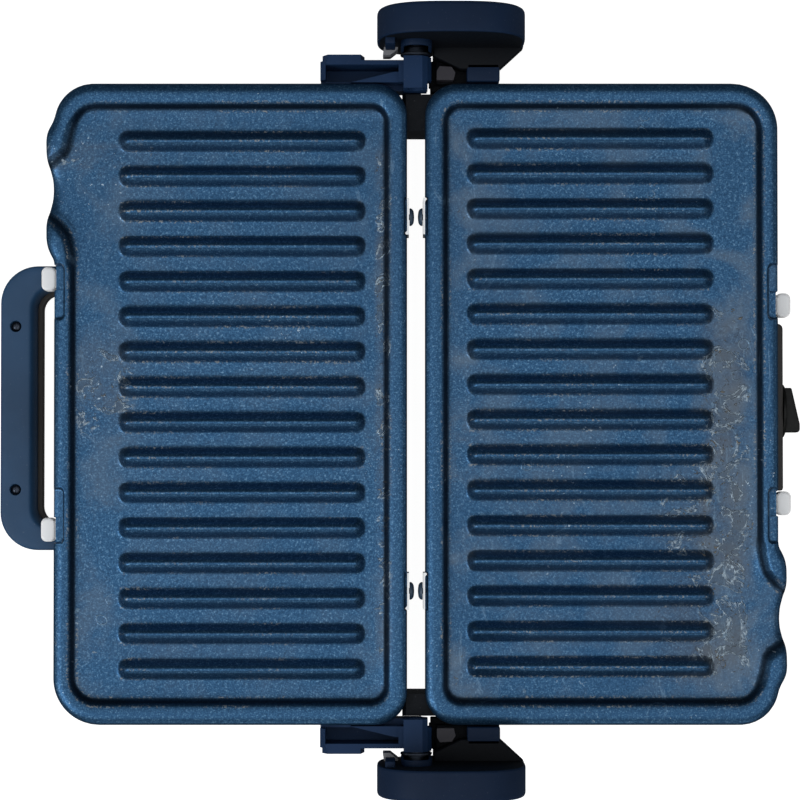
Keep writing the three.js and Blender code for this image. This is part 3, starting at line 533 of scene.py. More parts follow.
def outline_side(n_lines, side):
    """Outer edge points that match the lines of one side of the inner grid."""
    x0, x1, y0, y1 = NEAR, FAR, -HALF, HALF
    out = []
    lo_in, hi_in = n_lines[0], n_lines[-1]
    blend = 16.0

    def corner_run(f, start, length_end, c=R_OUT):
        """f 0 at the middle of the corner arc, 1 at length_end past it, along one side; returns (along, inset)."""
        arc = c * math.pi / 4
        straight = length_end - (start + c)
        total = arc + straight
        s = f * total
        if s <= arc:
            a = math.pi / 4 - s / c      # angle from the side's normal
            return start + c - c * math.sin(a), c - c * math.cos(a)
        return start + c + (s - arc), 0.0

    if side in ("R", "L"):
        start, end = y0, y1
    else:
        start, end = x0, x1
    for v in n_lines:
        if v - lo_in < blend:
            along, inset = corner_run((v - lo_in) / blend, start, lo_in + blend, R_SPOUT if side == "R" else R_OUT)
        elif hi_in - v < blend:
            along, inset = corner_run((hi_in - v) / blend, -end, -(hi_in - blend), R_WIDE if side in ("R", "T") else (R_SPOUT if side == "B" else R_OUT))
            along = -along
        else:
            along, inset = v, 0.0
        if side == "R":
            out.append((x1 - inset + bump_at(along), along))
        elif side == "L":
            out.append((x0 + inset, along))
        elif side == "T":
            out.append((along, y1 - inset))
        else:
            out.append((along, y0 + inset))
    return out


def seg_distance(px, py, poly, closed=True):
    """Distance from points to a polyline."""
    a = np.array(poly, float)
    b = np.roll(a, -1, axis=0) if closed else a[1:]
    if not closed:
        a = a[:-1]
    best = np.full(px.shape, 1e9)
    for (ax, ay), (bx, by) in zip(a, b):
        dx, dy = bx - ax, by - ay
        L = dx * dx + dy * dy
        t = np.zeros_like(px) if L == 0 else np.clip(((px - ax) * dx + (py - ay) * dy) / L, 0, 1)
        d = (px - ax - t * dx) ** 2 + (py - ay - t * dy) ** 2
        best = np.minimum(best, d)
    return np.sqrt(best)


def inside(px, py, poly):
    a = np.array(poly, float)
    b = np.roll(a, -1, axis=0)
    res = np.zeros(px.shape, bool)
    for (ax, ay), (bx, by) in zip(a, b):
        if ay == by:
            continue
        crossing = ((ay > py) != (by > py)) & (px < (bx - ax) * (py - ay) / (by - ay) + ax)
        res ^= crossing
    return res


def smoothstep(t):
    t = np.clip(t, 0, 1)
    return t * t * (3 - 2 * t)


def pan_outline():
    """Middle of the steep wall inside the rim, with the run-out to the spout."""
    r = 8.5
    x0, x1, y0, y1 = 16.4, 188.9, -163.6, 163.8
    pts = []
    pts += arc_pts(x1 - 13.5, y1 - 13.5, 13.5, 0, 90, 10)
    pts += arc_pts(x0 + r, y1 - r, r, 90, 180, 8)
    pts += arc_pts(x0 + r, y0 + r, r, 180, 270, 8)
    pts += [(178.0, y0), (182.6, -162.2), (186.2, -158.8), (188.6, -153.8), (190.2, -148.5), (190.9, -144.5), (192.0, -139.9),
            (194.2, -136.6), (197.4, -134.4), (201.0, -132.0), (206.0, -129.0), (214.0, -127.0),
            (214.0, -107.5), (206.0, -105.5), (202.0, -103.2), (197.8, -99.6), (194.4, -96.2), (191.8, -92.6), (190.4, -88.0), (189.3, -82.0), (188.9, -74.0)]
    return pts


def plate_mesh(name, notch_y, lid):
    # grid lines: dense across the ribs and at their ends
    xs = [26.2, 26.9, 27.6, 28.3, 29.1, 29.9, 30.8, 31.8, 33.0, 34.5, 37, 42.2, 50, 60, 70, 80, 90, 100, 110, 120, 130, 139, 146, 151, 154.5,
          157, 158.8, 160.2, 161.3, 162.2, 163.0, 163.8, 164.6, 165.6, 167.2, 169.5, 171.5, 173.2, 174.6, 175.8, 177.0]
    ys = []
    offs = [-5.8, -5.2, -4.5, -3.8, -3.1, -2.4, -1.7, -1.0, -0.3, 0.3, 1.0, 1.7, 2.4, 3.1, 3.8, 4.5, 5.2, 5.8]
    for i in range(NRIB):
        c = RIB0 - PITCH * i
        ys += [c + o for o in offs]
        if i < NRIB - 1:
            ys += [c - 7.6, c - PITCH / 2, c - PITCH + 7.6]
    for e in (92.3, 92.6, 113.4, 113.7):
        ys += [e, -e]
    for e in (45.5, 46.0, 46.6, 47.3, 48.2, 49.4, 73.6, 74.8, 75.7, 76.4, 77.0, 77.5, notch_y - 7.1, notch_y - 6.8, notch_y + 6.8, notch_y + 7.1):
        ys += [e, -e]
    ys += [-153.4, -152.6, 153.4, 152.6]
    ys += list(np.arange(-151, -76, 1.45))      # finer along the spout
    ys = sorted(ys)
    keep = [ys[0]]
    for y in ys[1:]:
        if y - keep[-1] > 0.22:
            keep.append(y)
    ys = keep
    nx, ny = len(xs), len(ys)
    inner_loop, outer_loop = [], []
    R, L = outline_side(ys, "R"), outline_side(ys, "L")
    T, B = outline_side(xs, "T"), outline_side(xs, "B")
    for j in range(ny - 1):
        inner_loop.append((xs[-1], ys[j])); outer_loop.append(R[j])
    for i in range(nx - 1, 0, -1):
        inner_loop.append((xs[i], ys[-1])); outer_loop.append(T[i])
    for j in range(ny - 1, 0, -1):
        inner_loop.append((xs[0], ys[j])); outer_loop.append(L[j])
    for i in range(nx - 1):
        inner_loop.append((xs[i], ys[0])); outer_loop.append(B[i])
    inner_loop, outer_loop = np.array(inner_loop), np.array(outer_loop)
    n = len(inner_loop)
    # fractions from the outer edge (0) to the grid (1); more where the rim curves
    steps = [0, 0.2, 0.5, 0.9, 1.4, 2.0, 2.7, 3.5, 4.38, 4.58, 5.1, 5.55, 6.0, 6.5, 7.1, 7.9, 8.6, 9.2, 9.7, 10.2, 10.7, 11.2, 11.7, 12.2, 12.8, 13.5, 14.3, 15.4, 17.2, 19.3]
    W = 22.0
    P2 = []
    for s in steps:
        t = s / W
        P2.append(outer_loop * (1 - t) + inner_loop * t)
    P2.append(inner_loop.copy())
    pts = np.concatenate(P2)
    grid = np.array([(x, y) for y in ys for x in xs])
    allp = np.concatenate([pts, grid])
    px, py = allp[:, 0], allp[:, 1]

    pan = pan_outline()
    d_out = seg_distance(px, py, [tuple(p) for p in outer_loop[::1]])
    d_pan = seg_distance(px, py, pan)
    d_pan = np.where(inside(px, py, pan), -d_pan, d_pan)

    # bead: crest 3 mm in from the edge, rolled down outside
    spouty = smoothstep((px - 183.0) / 6.0) * smoothstep((-72.0 - py) / 8.0) * smoothstep((py + 160.0) / 8.0)
    ww = 1.8 + 2.3 * spouty
    # steep wall, a tight fillet at its foot and a wide one into the bead
    q = np.clip((d_pan + ww) / (2 * ww), 0, 1)
    wall = np.where(q < 0.5, 0.5 * (2 * q) ** 2.1, 1 - 0.5 * np.power(np.clip(2 - 2 * q, 0, 1), 2.1))
    shoulder = 1.75 * np.exp(-np.clip(d_pan - ww * 0.4, 0, None) / 2.3)
    fillet = 0.95 * np.exp(-np.clip(-d_pan - ww, 0, None) / 2.5)
    z = FLOOR + fillet + (RIM - FLOOR - fillet - shoulder * (d_pan > -ww)) * wall
    t = np.clip(1 - d_out / 6.8, 0, 1)
    roll = 3.9 * (1 - np.sqrt(np.clip(1 - t ** 1.9, 0, 1)))
    z = z - roll
    # a slight fall towards the spout
    z = z - 0.35 * smoothstep((px - 165) / 30) * (1 - wall)
    # ribs
    x_a, x_b = 27.8, 164.0
    hw = 5.75
    for i in range(NRIB):
        c = RIB0 - PITCH * i
        near = np.abs(py - c) < hw + 1.2
        if not near.any():
            continue
        dy = np.abs(py[near] - c)
        run = 6.2
        ex = np.maximum(0, np.maximum((x_a + run) - px[near], px[near] - (x_b - run)))
        rr = (np.power(ex * hw / run, 2.4) + np.power(dy, 2.4)) ** (1 / 2.4)
        h = 5.55 + 6.5 - np.sqrt(6.5 ** 2 + (1.92 * rr) ** 2)
        h = 0.5 * (h + np.sqrt(h * h + 1.0 ** 2)) - 0.045
        h = np.maximum(h, 0) * smoothstep((hw + 1.1 - rr) / 1.2)
        z[near] += h * (1 - wall[near])
    # release shelves, their notches, and the notches for the rear clips
    for s in (1, -1):
        qx = np.maximum(FAR - 6.5 + 3.5 - px, 0)
        qy = np.maximum(np.abs(py - s * 61.5) - (15.9 - 3.5), 0)
        sd = np.hypot(qx, qy) - 3.5
        sd = np.where((qx == 0) & (qy == 0), -3.5, sd)
        ledge = RIM - 3.5 + 3.6 * smoothstep((sd + 1.35) / 1.35)
        z = np.minimum(z, np.where(sd < 0, ledge - 0.35 * roll, 1e3))
        on = (px > FAR - 4.5) & (np.abs(py - s * notch_y) < 7.0)
        z[on] = RIM - 11.6
        on = (px < NEAR + 1.0) & (np.abs(py - s * 103) < 10.5)
        z[on] = RIM - 11.6

    verts = [(p[0], p[1], zz) for p, zz in zip(allp, z)]
    faces = []
    rings = len(P2)

    def ring(k, i):
        return k * n + i % n

    for k in range(rings - 1):
        for i in range(n):
            faces.append((ring(k, i), ring(k, i + 1), ring(k + 1, i + 1), ring(k + 1, i)))
    g0 = rings * n
    # weld the last ring to the grid edge by index
    loop_idx = []
    for j in range(ny - 1):
        loop_idx.append(j * nx + nx - 1)
    for i in range(nx - 1, 0, -1):
        loop_idx.append((ny - 1) * nx + i)
    for j in range(ny - 1, 0, -1):
        loop_idx.append(j * nx)
    for i in range(nx - 1):
        loop_idx.append(i)
    remap = {ring(rings - 1, i): g0 + loop_idx[i] for i in range(n)}
    faces = [tuple(remap.get(q, q) for q in f) for f in faces]
    for j in range(ny - 1):
        for i in range(nx - 1):
            a = g0 + j * nx + i
            faces.append((a, a + 1, a + nx + 1, a + nx))
    # skirt and underside
    low = RIM - 12.0
    o = outer_loop
    cxy = np.array([(NEAR + FAR) / 2, 0.0])
    nrm = np.zeros_like(o)
    tan = np.roll(o, -1, axis=0) - np.roll(o, 1, axis=0)
    tan /= np.linalg.norm(tan, axis=1)[:, None]
    nrm[:, 0], nrm[:, 1] = -tan[:, 1], tan[:, 0]      # inward for a counter-clockwise loop
    z0 = z[:n]
    extra = []
    for inset, zz in ((0.0, low + 0.5), (0.15, low + 0.15), (0.5, low), (2.6, low), (2.95, low + 0.3), (3.0, low + 2.0)):
        q = o + nrm * inset
        zz_arr = np.minimum(z0, zz) if inset == 0.0 else np.full(n, zz)
        extra.append([(a, b, c) for (a, b), c in zip(q, zz_arr)])
    prev = [ring(0, i) for i in range(n)]
    for row in extra:
        base = len(verts)
        verts += row
        cur = [base + i for i in range(n)]
        for i in range(n):
            j = (i + 1) % n
            faces.append((prev[i], cur[i], cur[j], prev[j]))
        prev = cur
    faces.append(tuple(prev[::-1]))
    # drop the unused last ring
    sx = -1.0 if lid else 1.0
    vv = [(HX + sx * x, sx * y, zz) for x, y, zz in verts]
    me = bpy.data.meshes.new(name)
    me.from_pydata([(a / 1000, b / 1000, c / 1000) for a, b, c in vv], [], faces)
    bm = bmesh.new()
    bm.from_mesh(me)
    loose = [v for v in bm.verts if not v.link_faces]
    bmesh.ops.delete(bm, geom=loose, context="VERTS")
    bmesh.ops.dissolve_degenerate(bm, dist=1e-6, edges=bm.edges)
    bmesh.ops.recalc_face_normals(bm, faces=bm.faces)
    bm.to_mesh(me)
    bm.free()
    # where grease gathers: the floor beside the ribs and the front channel
    co = np.zeros(len(me.vertices) * 3)
    me.vertices.foreach_get("co", co)
    co = co.reshape(-1, 3) * 1000
    u = (co[:, 0] - HX) * sx
    yy = co[:, 1] * sx
    zz = co[:, 2]
    att = me.attributes.new("stain", "FLOAT", "POINT")
    val = np.zeros(len(u))
    floorish = smoothstep((60.5 - zz) / 5.0) * smoothstep((zz - 52.0) / 2.0)
    channel = smoothstep((u - 150) / 18) * smoothstep((190 - u) / 6)
    rib_end = smoothstep((38 - u) / 12) * smoothstep((u - 17) / 4)
    mid = 0.45
    val = floorish * np.clip(mid + 0.65 * channel + 0.35 * rib_end, 0, 1)
    if lid:
        val *= 0.6
    else:
        val = np.clip(val * 1.3, 0, 1)
    att.data.foreach_set("value", val)
    # wet patches: along the front channel of the base and between some rib ends
    att = me.attributes.new("wet", "FLOAT", "POINT")
    if lid:
        wet = (0.75 * smoothstep((u - 8) / 3) * smoothstep((24 - u) / 4) * smoothstep((yy + 150) / 20) * smoothstep((150 - yy) / 20)
               + 0.55 * smoothstep((u - 150) / 14) * smoothstep((190 - u) / 6) * smoothstep((40 - np.abs(yy + 10)) / 30)
               + 0.3 * smoothstep((u - 90) / 60) * smoothstep((9 - np.abs(np.abs(yy) - 136.3)) / 4))
        wet = wet * smoothstep((61.9 - zz) / 2.0)
    else:
        wet = (0.95 * smoothstep((u - 150) / 20) * smoothstep((187 - u) / 9) * smoothstep((yy + 152) / 14) * smoothstep((62 - yy) / 24)
               + 0.60 * smoothstep((u - 120) / 30) * smoothstep((172 - u) / 8) * smoothstep((yy + 158) / 10) * smoothstep((-20 - yy) / 30)
               + 0.12 * smoothstep((u - 14) / 6) * smoothstep((34 - u) / 8))
        wet = wet * smoothstep((59.5 - zz) / 3.0)
    att.data.foreach_set("value", np.clip(wet, 0, 1))
    # feet and crests of the ribs, and both edges of the rim wall, where the pale specks go: partly residue, partly
    # painted highlight
    att = me.attributes.new("foot", "FLOAT", "POINT")
    foot = np.zeros(len(u))
    for i in range(NRIB):
        dy = np.abs(yy - (RIB0 - PITCH * i))
        line = 0.9 * np.exp(-((dy - 5.3) / 0.8) ** 2) + 0.8 * np.exp(-(dy / 0.9) ** 2)
        foot = np.maximum(foot, line * smoothstep((u - 27) / 3) * smoothstep((165 - u) / 3))
    dp = seg_distance(u, yy, pan)
    dp = np.where(inside(u, yy, pan), -dp, dp)
    rimline = 0.85 * np.exp(-((dp - 2.3) / 0.9) ** 2) + 0.8 * np.exp(-((dp + 2.4) / 0.9) ** 2)
    foot = np.maximum(foot, rimline)
    att.data.foreach_set("value", np.clip(foot, 0, 1))
    # painted shade: the steep rim wall darkened towards black
    att = me.attributes.new("painted_wall_shade", "FLOAT", "POINT")
    painted_wall_shade = np.exp(-((dp + 0.1) / 1.8) ** 2)
    att.data.foreach_set("value", np.clip(painted_wall_shade, 0, 1))
    me.polygons.foreach_set("use_smooth", [True] * len(me.polygons))
    ob = bpy.data.objects.new(name, me)
    scene.collection.objects.link(ob)
    shade(ob, 62.0)
    return ob


bp = plate_mesh("base_plate_cast", 54.9, False)
dress(bp, COAT, "base_plate", "base_plate")
lp = plate_mesh("lid_plate_cast", 69.5, True)
dress(lp, COAT, "lid_plate", "lid_plate")


# ------------------------------------------------------------------- handle
HANDLE_Y = -1.75


def handle_loft(name, section):
    """section: (fraction from the outer edge to the inner edge, height) round the bar."""
    half, u_out, u_in, inner_half = 79.4, 232.0, 209.6, 64.0
    ro, ri = 21.0, 9.0
    out, inn = [], []
    for u in (176, 184, 190, 195, 199, 203, 206):
        out.append((u, half))
        inn.append((176 + (u - 176) * (u_in - ri - 176) / (211 - 176), inner_half))
    na = 14
    for i in range(na + 1):
        a = math.pi / 2 * (1 - i / na)
        out.append((u_out - ro + ro * math.cos(a), half - ro + ro * math.sin(a)))
        inn.append((u_in - ri + ri * math.cos(a), inner_half - ri + ri * math.sin(a)))
    for y in (46, 34, 22, 10):
        out.append((u_out, y))
        inn.append((u_in, y))
    out.append((u_out, 0)); inn.append((u_in, 0))
    out += [(u, -y) for u, y in out[-2::-1]]
    inn += [(u, -y) for u, y in inn[-2::-1]]
    verts, faces = [], []
    k = len(section)
    for (ox, oy), (ix, iy) in zip(out, inn):
        for f, z in section:
            verts.append((HX - (ox + (ix - ox) * f), HANDLE_Y - (oy + (iy - oy) * f), z))
    m = len(out)
    for i in range(m - 1):
        for j in range(k):
            a, b = i * k + j, i * k + (j + 1) % k
            faces.append((a, b, b + k, a + k))
    faces.append(tuple(range(k)))
    faces.append(tuple((m - 1) * k + j for j in range(k))[::-1])
    return recalc(add_object(name, verts, faces))


def ellipse_corner(f0, z0, f1, z1, n=5, concave=False):
    """Quarter-ellipse from (f0, z0) to (f1, z1), leaving along f."""
    out = []
    for i in range(n + 1):
        a = math.pi / 2 * i / n
        out.append((f0 + (f1 - f0) * math.sin(a), z1 + (z0 - z1) * math.cos(a)))
    return out


top_section = ([(0.872, 26.2), (0.02, 26.2), (0.0, 26.8)] + [(0.0, 33.9)]
               + [(0.0 + 0.085 * (1 - math.cos(math.pi / 2 * i / 5)), 34.3 + 3.1 * math.sin(math.pi / 2 * i / 5)) for i in range(1, 6)]
               + [(0.30, 37.4), (0.55, 37.4)]
               + [(0.69 + 0.19 * math.sin(math.pi / 2 * i / 9), 27.4 + 10.0 * math.cos(math.pi / 2 * i / 9)) for i in range(0, 10)]
               + [(0.882, 26.6)])
low_section = ([(0.985, 25.9), (1.0, 25.4), (1.0, 21.5)]
               + [(1.0 - 0.16 * (1 - math.cos(math.pi / 2 * i / 5)), 20.0 - 5.4 * math.sin(math.pi / 2 * i / 5)) for i in range(1, 6)]
               + [(0.5, 14.6)]
               + [(0.16 - 0.16 * math.sin(math.pi / 2 * i / 5), 20.0 - 5.4 * math.cos(math.pi / 2 * i / 5)) for i in range(0, 6)]
               + [(0.0, 25.4), (0.02, 25.9), (0.86, 25.9)])
h_top = handle_loft("handle_inner_cover", top_section)
h_low = handle_loft("handle_outer_cover", low_section)
SCREWS = [(HX - 223.4, HANDLE_Y + 45.6), (HX - 223.4, HANDLE_Y - 45.6)]
cut(h_top, *[lathe("cutter", [(0, 33.0), (2.95, 33.0), (3.0, 36.4), (3.25, 37.2), (3.4, 37.8), (3.4, 40), (0, 40)], (x, y, 0), n=40) for x, y in SCREWS])
shade(h_top, 40)
shade(h_low, 40)
dress(h_top, HANDLE, "lid", "handle_inner_shell")
dress(h_low, HANDLE_LOW, "lid", "handle_outer_shell")
for side, (x, y) in zip(("left", "right"), SCREWS):
    s = lathe("handle_screw_" + side + "_head", [(0, 22), (1.3, 22), (1.3, 33.1), (2.65, 33.3), (2.7, 34.2), (2.3, 35.2), (1.4, 35.75), (0, 35.95)], (x, y, 0), n=32)
    c1 = prism("cutter", [(x - 1.7, y - 0.33), (x + 1.7, y - 0.33), (x + 1.7, y + 0.33), (x - 1.7, y + 0.33)], 34.5, 38)
    c2 = prism("cutter", [(x - 0.33, y - 1.7), (x + 0.33, y - 1.7), (x + 0.33, y + 1.7), (x - 0.33, y + 1.7)], 34.5, 38)
    cut(s, c1, c2)
    shade(s, 35)
    dress(s, SCREW_DARK, "lid", "handle_screw_" + side)

# -------------------------------------------------------------- CAD nodes kept
for node, mat, w in [
    ("base_housing", BLACK, 0.5), ("lid_housing", BLACK, 0.5), ("base_bottom_cover", PANEL, 0.5),
    ("front_panel", PANEL, 0.5), ("lid_arm_left", ARM, 0.7), ("lid_arm_right", ARM, 0.7),
    ("hinge_stop_left", GREY, 0.6), ("hinge_stop_right", GREY, 0.6), ("latch_lever_left", LEVER, 0.9), ("latch_lever_right", LEVER, 0.9),
    ("base_clip_left", STEEL, 0.15), ("base_clip_right", STEEL, 0.15), ("lid_clip_left", STEEL, 0.15), ("lid_clip_right", STEEL, 0.15),
    ("thermostat", CERAMIC, 0.4), ("terminal_block", CERAMIC, 0.4), ("base_reflector", TIN, 0.0), ("lid_reflector", TIN, 0.0),
    ("base_heating_element", SHEATH, 0.0), ("lid_heating_element", SHEATH, 0.0), ("thermal_fuse", CERAMIC, 0.3), ("lid_thermal_fuse", CERAMIC, 0.3),
    ("base_wiring", CABLE, 0.0), ("cord_gland", RUBBER, 0.4), ("hinge_slider_left", GREY, 0.4), ("hinge_slider_right", GREY, 0.4),
    ("lid_pad_front", RUBBER, 0.3), ("lid_pad_rear", RUBBER, 0.3),
    ("cover_screw_front_left", SCREW, 0.2), ("cover_screw_front_right", SCREW, 0.2), ("cover_screw_rear_left", SCREW, 0.2), ("cover_screw_rear_right", SCREW, 0.2),
    ("power_lamp", lens("lamp_red", (0.42, 0.02, 0.015)), 0.2), ("ready_lamp", lens("lamp_green", (0.03, 0.28, 0.07)), 0.2),
]:
    ob = paint(node, mat)
    if w > 0:
        soften(ob, w)
    else:
        shade(ob, 40)

# ----------------------------------------------------- pieces in finer meshes
def squircle(x, z, r, n=120, power=2.9):
    out = []
    for i in range(n):
        c, d = math.cos(2 * math.pi * i / n), math.sin(2 * math.pi * i / n)
        k = r / (abs(c) ** power + abs(d) ** power) ** (1 / power)
        out.append((x + k * c, z + k * d))
    return out


def ring_loft(name, rings, x, z, sign, n=120):
    """Closed solid from squared-off rings of (radius, |y|) about an axis along Y."""
    v, f = [], []
    for r, y in rings:
        v += [(a, sign * y, b) for a, b in squircle(x, z, r, n)]
    for k in range(len(rings) - 1):
        for i in range(n):
            j = (i + 1) % n
            f.append((k * n + i, k * n + j, (k + 1) * n + j, (k + 1) * n + i))
    f.append(tuple(range(n)))
    f.append(tuple((len(rings) - 1) * n + i for i in range(n))[::-1])
    return recalc(add_object(name, v, f))


def block(name, x0, x1, y0, y1, z0, z1, bevel=0.0, segments=3):
    ob = prism(name, [(x0, y0), (x1, y0), (x1, y1), (x0, y1)], z0, z1)
    if bevel:
        round_off(ob, bevel, segments)
    return ob


def round_off(ob, width, segments=3, angle=25):
    b = ob.modifiers.new("round", "BEVEL")
    b.width = width / 1000
    b.segments = segments
    b.limit_method = "ANGLE"
    b.angle_limit = math.radians(angle)
    bake_modifiers(ob)
    return ob


def hull(name, pts, bevel=0.8):
    me = bpy.data.meshes.new(name)
    bm = bmesh.new()
    for q in pts:
        bm.verts.new([c / 1000 for c in q])
    bmesh.ops.convex_hull(bm, input=bm.verts)
    bmesh.ops.dissolve_limit(bm, angle_limit=0.01, verts=bm.verts, edges=bm.edges)
    bmesh.ops.recalc_face_normals(bm, faces=bm.faces)
    bm.to_mesh(me)
    bm.free()
    ob = bpy.data.objects.new(name, me)
    scene.collection.objects.link(ob)
    return round_off(ob, bevel)


def slot_outline(r, n=16):
    out = [(HX + r * math.cos(math.pi * i / n), HZ + 20 + r * math.sin(math.pi * i / n)) for i in range(n + 1)]
    out += [(HX + r * math.cos(math.pi + math.pi * i / n), HZ + r * math.sin(math.pi + math.pi * i / n)) for i in range(n + 1)]
    return out


def assemble(name, parts, materials, angle=35):
    """One mesh out of closed parts, each with its material number."""
    me = bpy.data.meshes.new(name)
    bm = bmesh.new()
    for ob, k in parts:
        n0 = len(bm.faces)
        bm.from_mesh(ob.data)
        bm.faces.ensure_lookup_table()
        for q in bm.faces[n0:]:
            q.material_index = k
            q.smooth = True
        bpy.data.objects.remove(ob, do_unlink=True)
    bm.to_mesh(me)
    bm.free()
    ob = bpy.data.objects.new(name, me)
    scene.collection.objects.link(ob)
    for m in materials:
        ob.data.materials.append(m)
    shade(ob, angle)
    return ob


DU, DZ, DR = HX + 18.9, 72.0, 40.2
for s, side in ((1, "left"), (-1, "right")):
    ys = lambda a, b: (min(s * a, s * b), max(s * a, s * b))
    disc = ring_loft("disc", [(DR - 1.3, 195.7), (DR - 0.5, 195.85), (DR - 0.12, 196.3), (DR, 197.0), (DR, 209.9), (DR - 0.12, 210.9), (DR - 0.5, 211.6), (DR - 1.2, 212.0),
                              (DR - 2.7, 212.0), (DR - 3.2, 211.8), (DR - 3.4, 211.3), (DR - 3.4, 198.5)], DU, DZ, s)
    cut(disc, prism("cutter", slot_outline(5.0), *ys(190, 205), axis="Y"))
    lip = prism("lip", slot_outline(8.4), *ys(192.4, 196.4), axis="Y")
    cut(lip, prism("cutter", slot_outline(6.7), *ys(188, 199), axis="Y"))
    round_off(lip, 0.35, 2, 50)
    web = prism("web", [(HX + u, s * y) for u, y in ((24.5, 184), (46, 184), (59, 195.9), (59, 198), (9.4, 198), (9.4, 191.2))], 52, 61.2)
    round_off(web, 0.9, 3)
    web2 = prism("web_low", [(HX + u, s * y) for u, y in ((24.5, 184), (43, 184), (50, 195.9), (50, 198), (9.4, 198), (9.4, 191.2))], 33, 54)
    round_off(web2, 0.9, 3)
    step = block("step", HX + 28, HX + 46, *ys(177.3, 187), 24, 61.2, 0.8)
    step2 = block("step_low", HX + 28, HX + 46, *ys(173.8, 187), 24, 49.3, 0.8)
    shelf = block("shelf", HX + 11, HX + 29, *ys(177.2, 191), 33, 50, 0.6)
    tab = block("tab", HX + 8, HX + 16, *ys(173.9, 178), 33, 44, 0.5)
    low = block("floor", HX + 7.2, HX + 12, *ys(177.2, 191), 33, 44, 0.6)
    rib = block("rib", HX - 16.8, HX - 11.4, *ys(192.4, 196.3), 72, 93.5, 0.7)
    rails = [block("rail", HX + a, HX + b, *ys(198.4, 205.5), 50, 94, 0.3) for a, b in ((-9.6, -7.4), (7.4, 9.6))]
    # material 1 is painted shade: the web, lower web, shelf, floor and tab get the near-black copy of the hinge plastic
    ob = assemble("hinge_bracket_%s_moulding" % side, [(disc, 0), (lip, 0), (web, 1), (web2, 1), (step, 0), (step2, 0), (shelf, 1), (low, 1), (tab, 1), (rib, 0)] + [(r, 0) for r in rails], [HINGE, HINGE_PAINTED_SHADE])
    # painted shade: the drum's inner face gets the near-black copy of the hinge plastic
    for q in ob.data.polygons:
        if abs(q.center.y) < 0.19572 and q.material_index == 0 and abs(q.normal.y) > 0.9 and abs(q.center.y) > 0.1955:
            q.material_index = 1
    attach(ob, "base")
    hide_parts("hinge_bracket_" + side)
    cap = ring_loft("hinge_cap_%s_moulding" % side, [(DR - 5.2, 207.6), (DR - 5.0, 207.8), (DR - 5.0, 209.2), (DR - 3.8, 209.25), (DR - 3.8, 210.9), (DR - 4.1, 211.4), (DR - 4.8, 211.6)], DU, DZ, s)
    shade(cap, 35)
    dress(cap, HINGE, "base", "hinge_cap_" + side)
    pin = lathe("hinge_pin_%s_turned" % side, [(0, 174), (3.9, 174), (4.5, 174.6), (4.5, 190.7), (8.4, 190.7), (8.6, 190.9), (8.6, 191.8), (8.4, 192.0), (6.3, 192.0), (6.3, 194.8), (5.9, 195.2), (4.5, 195.2), (4.5, 204.0), (3.9, 204.6), (0, 204.6)],
                (HX, 0, HZ), "Y" if s > 0 else "-Y", 48)
    shade(pin, 35)
    dress(pin, SCREW_DARK, "hinge_carriage", "hinge_pin_" + side)

# knob: round skirt, wedge grip, spindle
KY, KZ = -3.4, 33.0
skirt = lathe("skirt", [(0, 203.7), (14.6, 203.7), (14.9, 204.0), (14.9, 204.9), (14.7, 205.4), (14.2, 205.7), (12.6, 205.8), (0, 205.8)], (HX, KY, KZ), "X", 96)
grip = prism("grip", [(HX + 205.4, KY + 12.9), (HX + 209.8, KY + 12.9), (HX + 214.4, KY - 7.4), (HX + 214.4, KY - 10.8), (HX + 213.4, KY - 12.0), (HX + 205.4, KY - 12.0)], KZ - 4.2, KZ + 4.2)
round_off(grip, 0.9, 4, 12)
stem = lathe("stem", [(0, 168), (3.0, 168), (3.0, 206), (0, 206)], (HX, KY, KZ), "X", 32)
knob = assemble("temperature_knob_moulding", [(skirt, 0), (grip, 0), (stem, 0)], [KNOB])
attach(knob, "knob")
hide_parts("temperature_knob")

# release buttons
def button_mesh(name, x, y, out):
    """out +1 for a button on the base, -1 for one on the lid."""
    def bx(a, b):
        return (min(x + out * a, x + out * b), max(x + out * a, x + out * b))
    x0, x1 = bx(199.4, 207.6)
    head = prism("head", rounded(x0, x1, y - 6.6, y + 6.6, 3.2, 8), 38.6, 48.6)
    round_off(head, 1.6, 5, 40)
    st0, st1 = bx(187.2, 200.4)
    st = block("stem", st0, st1, y - 5, y + 5, 39, 47.8, 0.5)
    fl0, fl1 = bx(183.6, 187.6)
    fl = block("flange", fl0, fl1, y - 7, y + 7, 38, 48.8, 0.5)
    return assemble(name, [(head, 0), (st, 0), (fl, 0)], [IVORY], 40)


for side, sy in (("left", 1), ("right", -1)):
    ob = button_mesh("base_button_%s_moulding" % side, HX, sy * 54.9, 1)
    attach(ob, "base_button_" + side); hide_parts("base_button_" + side)
    ob = button_mesh("lid_button_%s_moulding" % side, HX, sy * 69.5, -1)
    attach(ob, "lid_button_" + side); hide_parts("lid_button_" + side)
    for part, d in (("base", 1), ("lid", -1)):
        prof = [(0, 0), (1.6, 0), (1.6, 1.7), (4.7, 1.7), (4.9, 1.9), (4.85, 2.5), (4.5, 3.1), (3.8, 3.7), (3.0, 4.0), (1.6, 4.2), (0, 4.3)]
        ob = lathe("%s_clip_rivet_%s_head" % (part, side), prof, (HX + d * 5.3, sy * 103, 54.6), "-X" if d > 0 else "X", 40)
        shade(ob, 40)
        dress(ob, STUD, part, "%s_clip_rivet_%s" % (part, side))
for end, x in (("rear", 32), ("front", 166)):
    for side, y in (("right", -122), ("left", 122)):
        ob = lathe("foot_%s_%s_moulding" % (end, side), [(0, 0.5), (3.4, 0.5), (3.9, 0.0), (7.2, 0.0), (8.0, 0.25), (8.7, 0.9), (9.3, 1.7), (9.4, 2.4), (9.4, 5.3), (0, 5.3)], (HX + x, y, 0), "Z", 48)
        shade(ob, 40)
        dress(ob, RUBBER, "base", "foot_%s_%s" % (end, side))

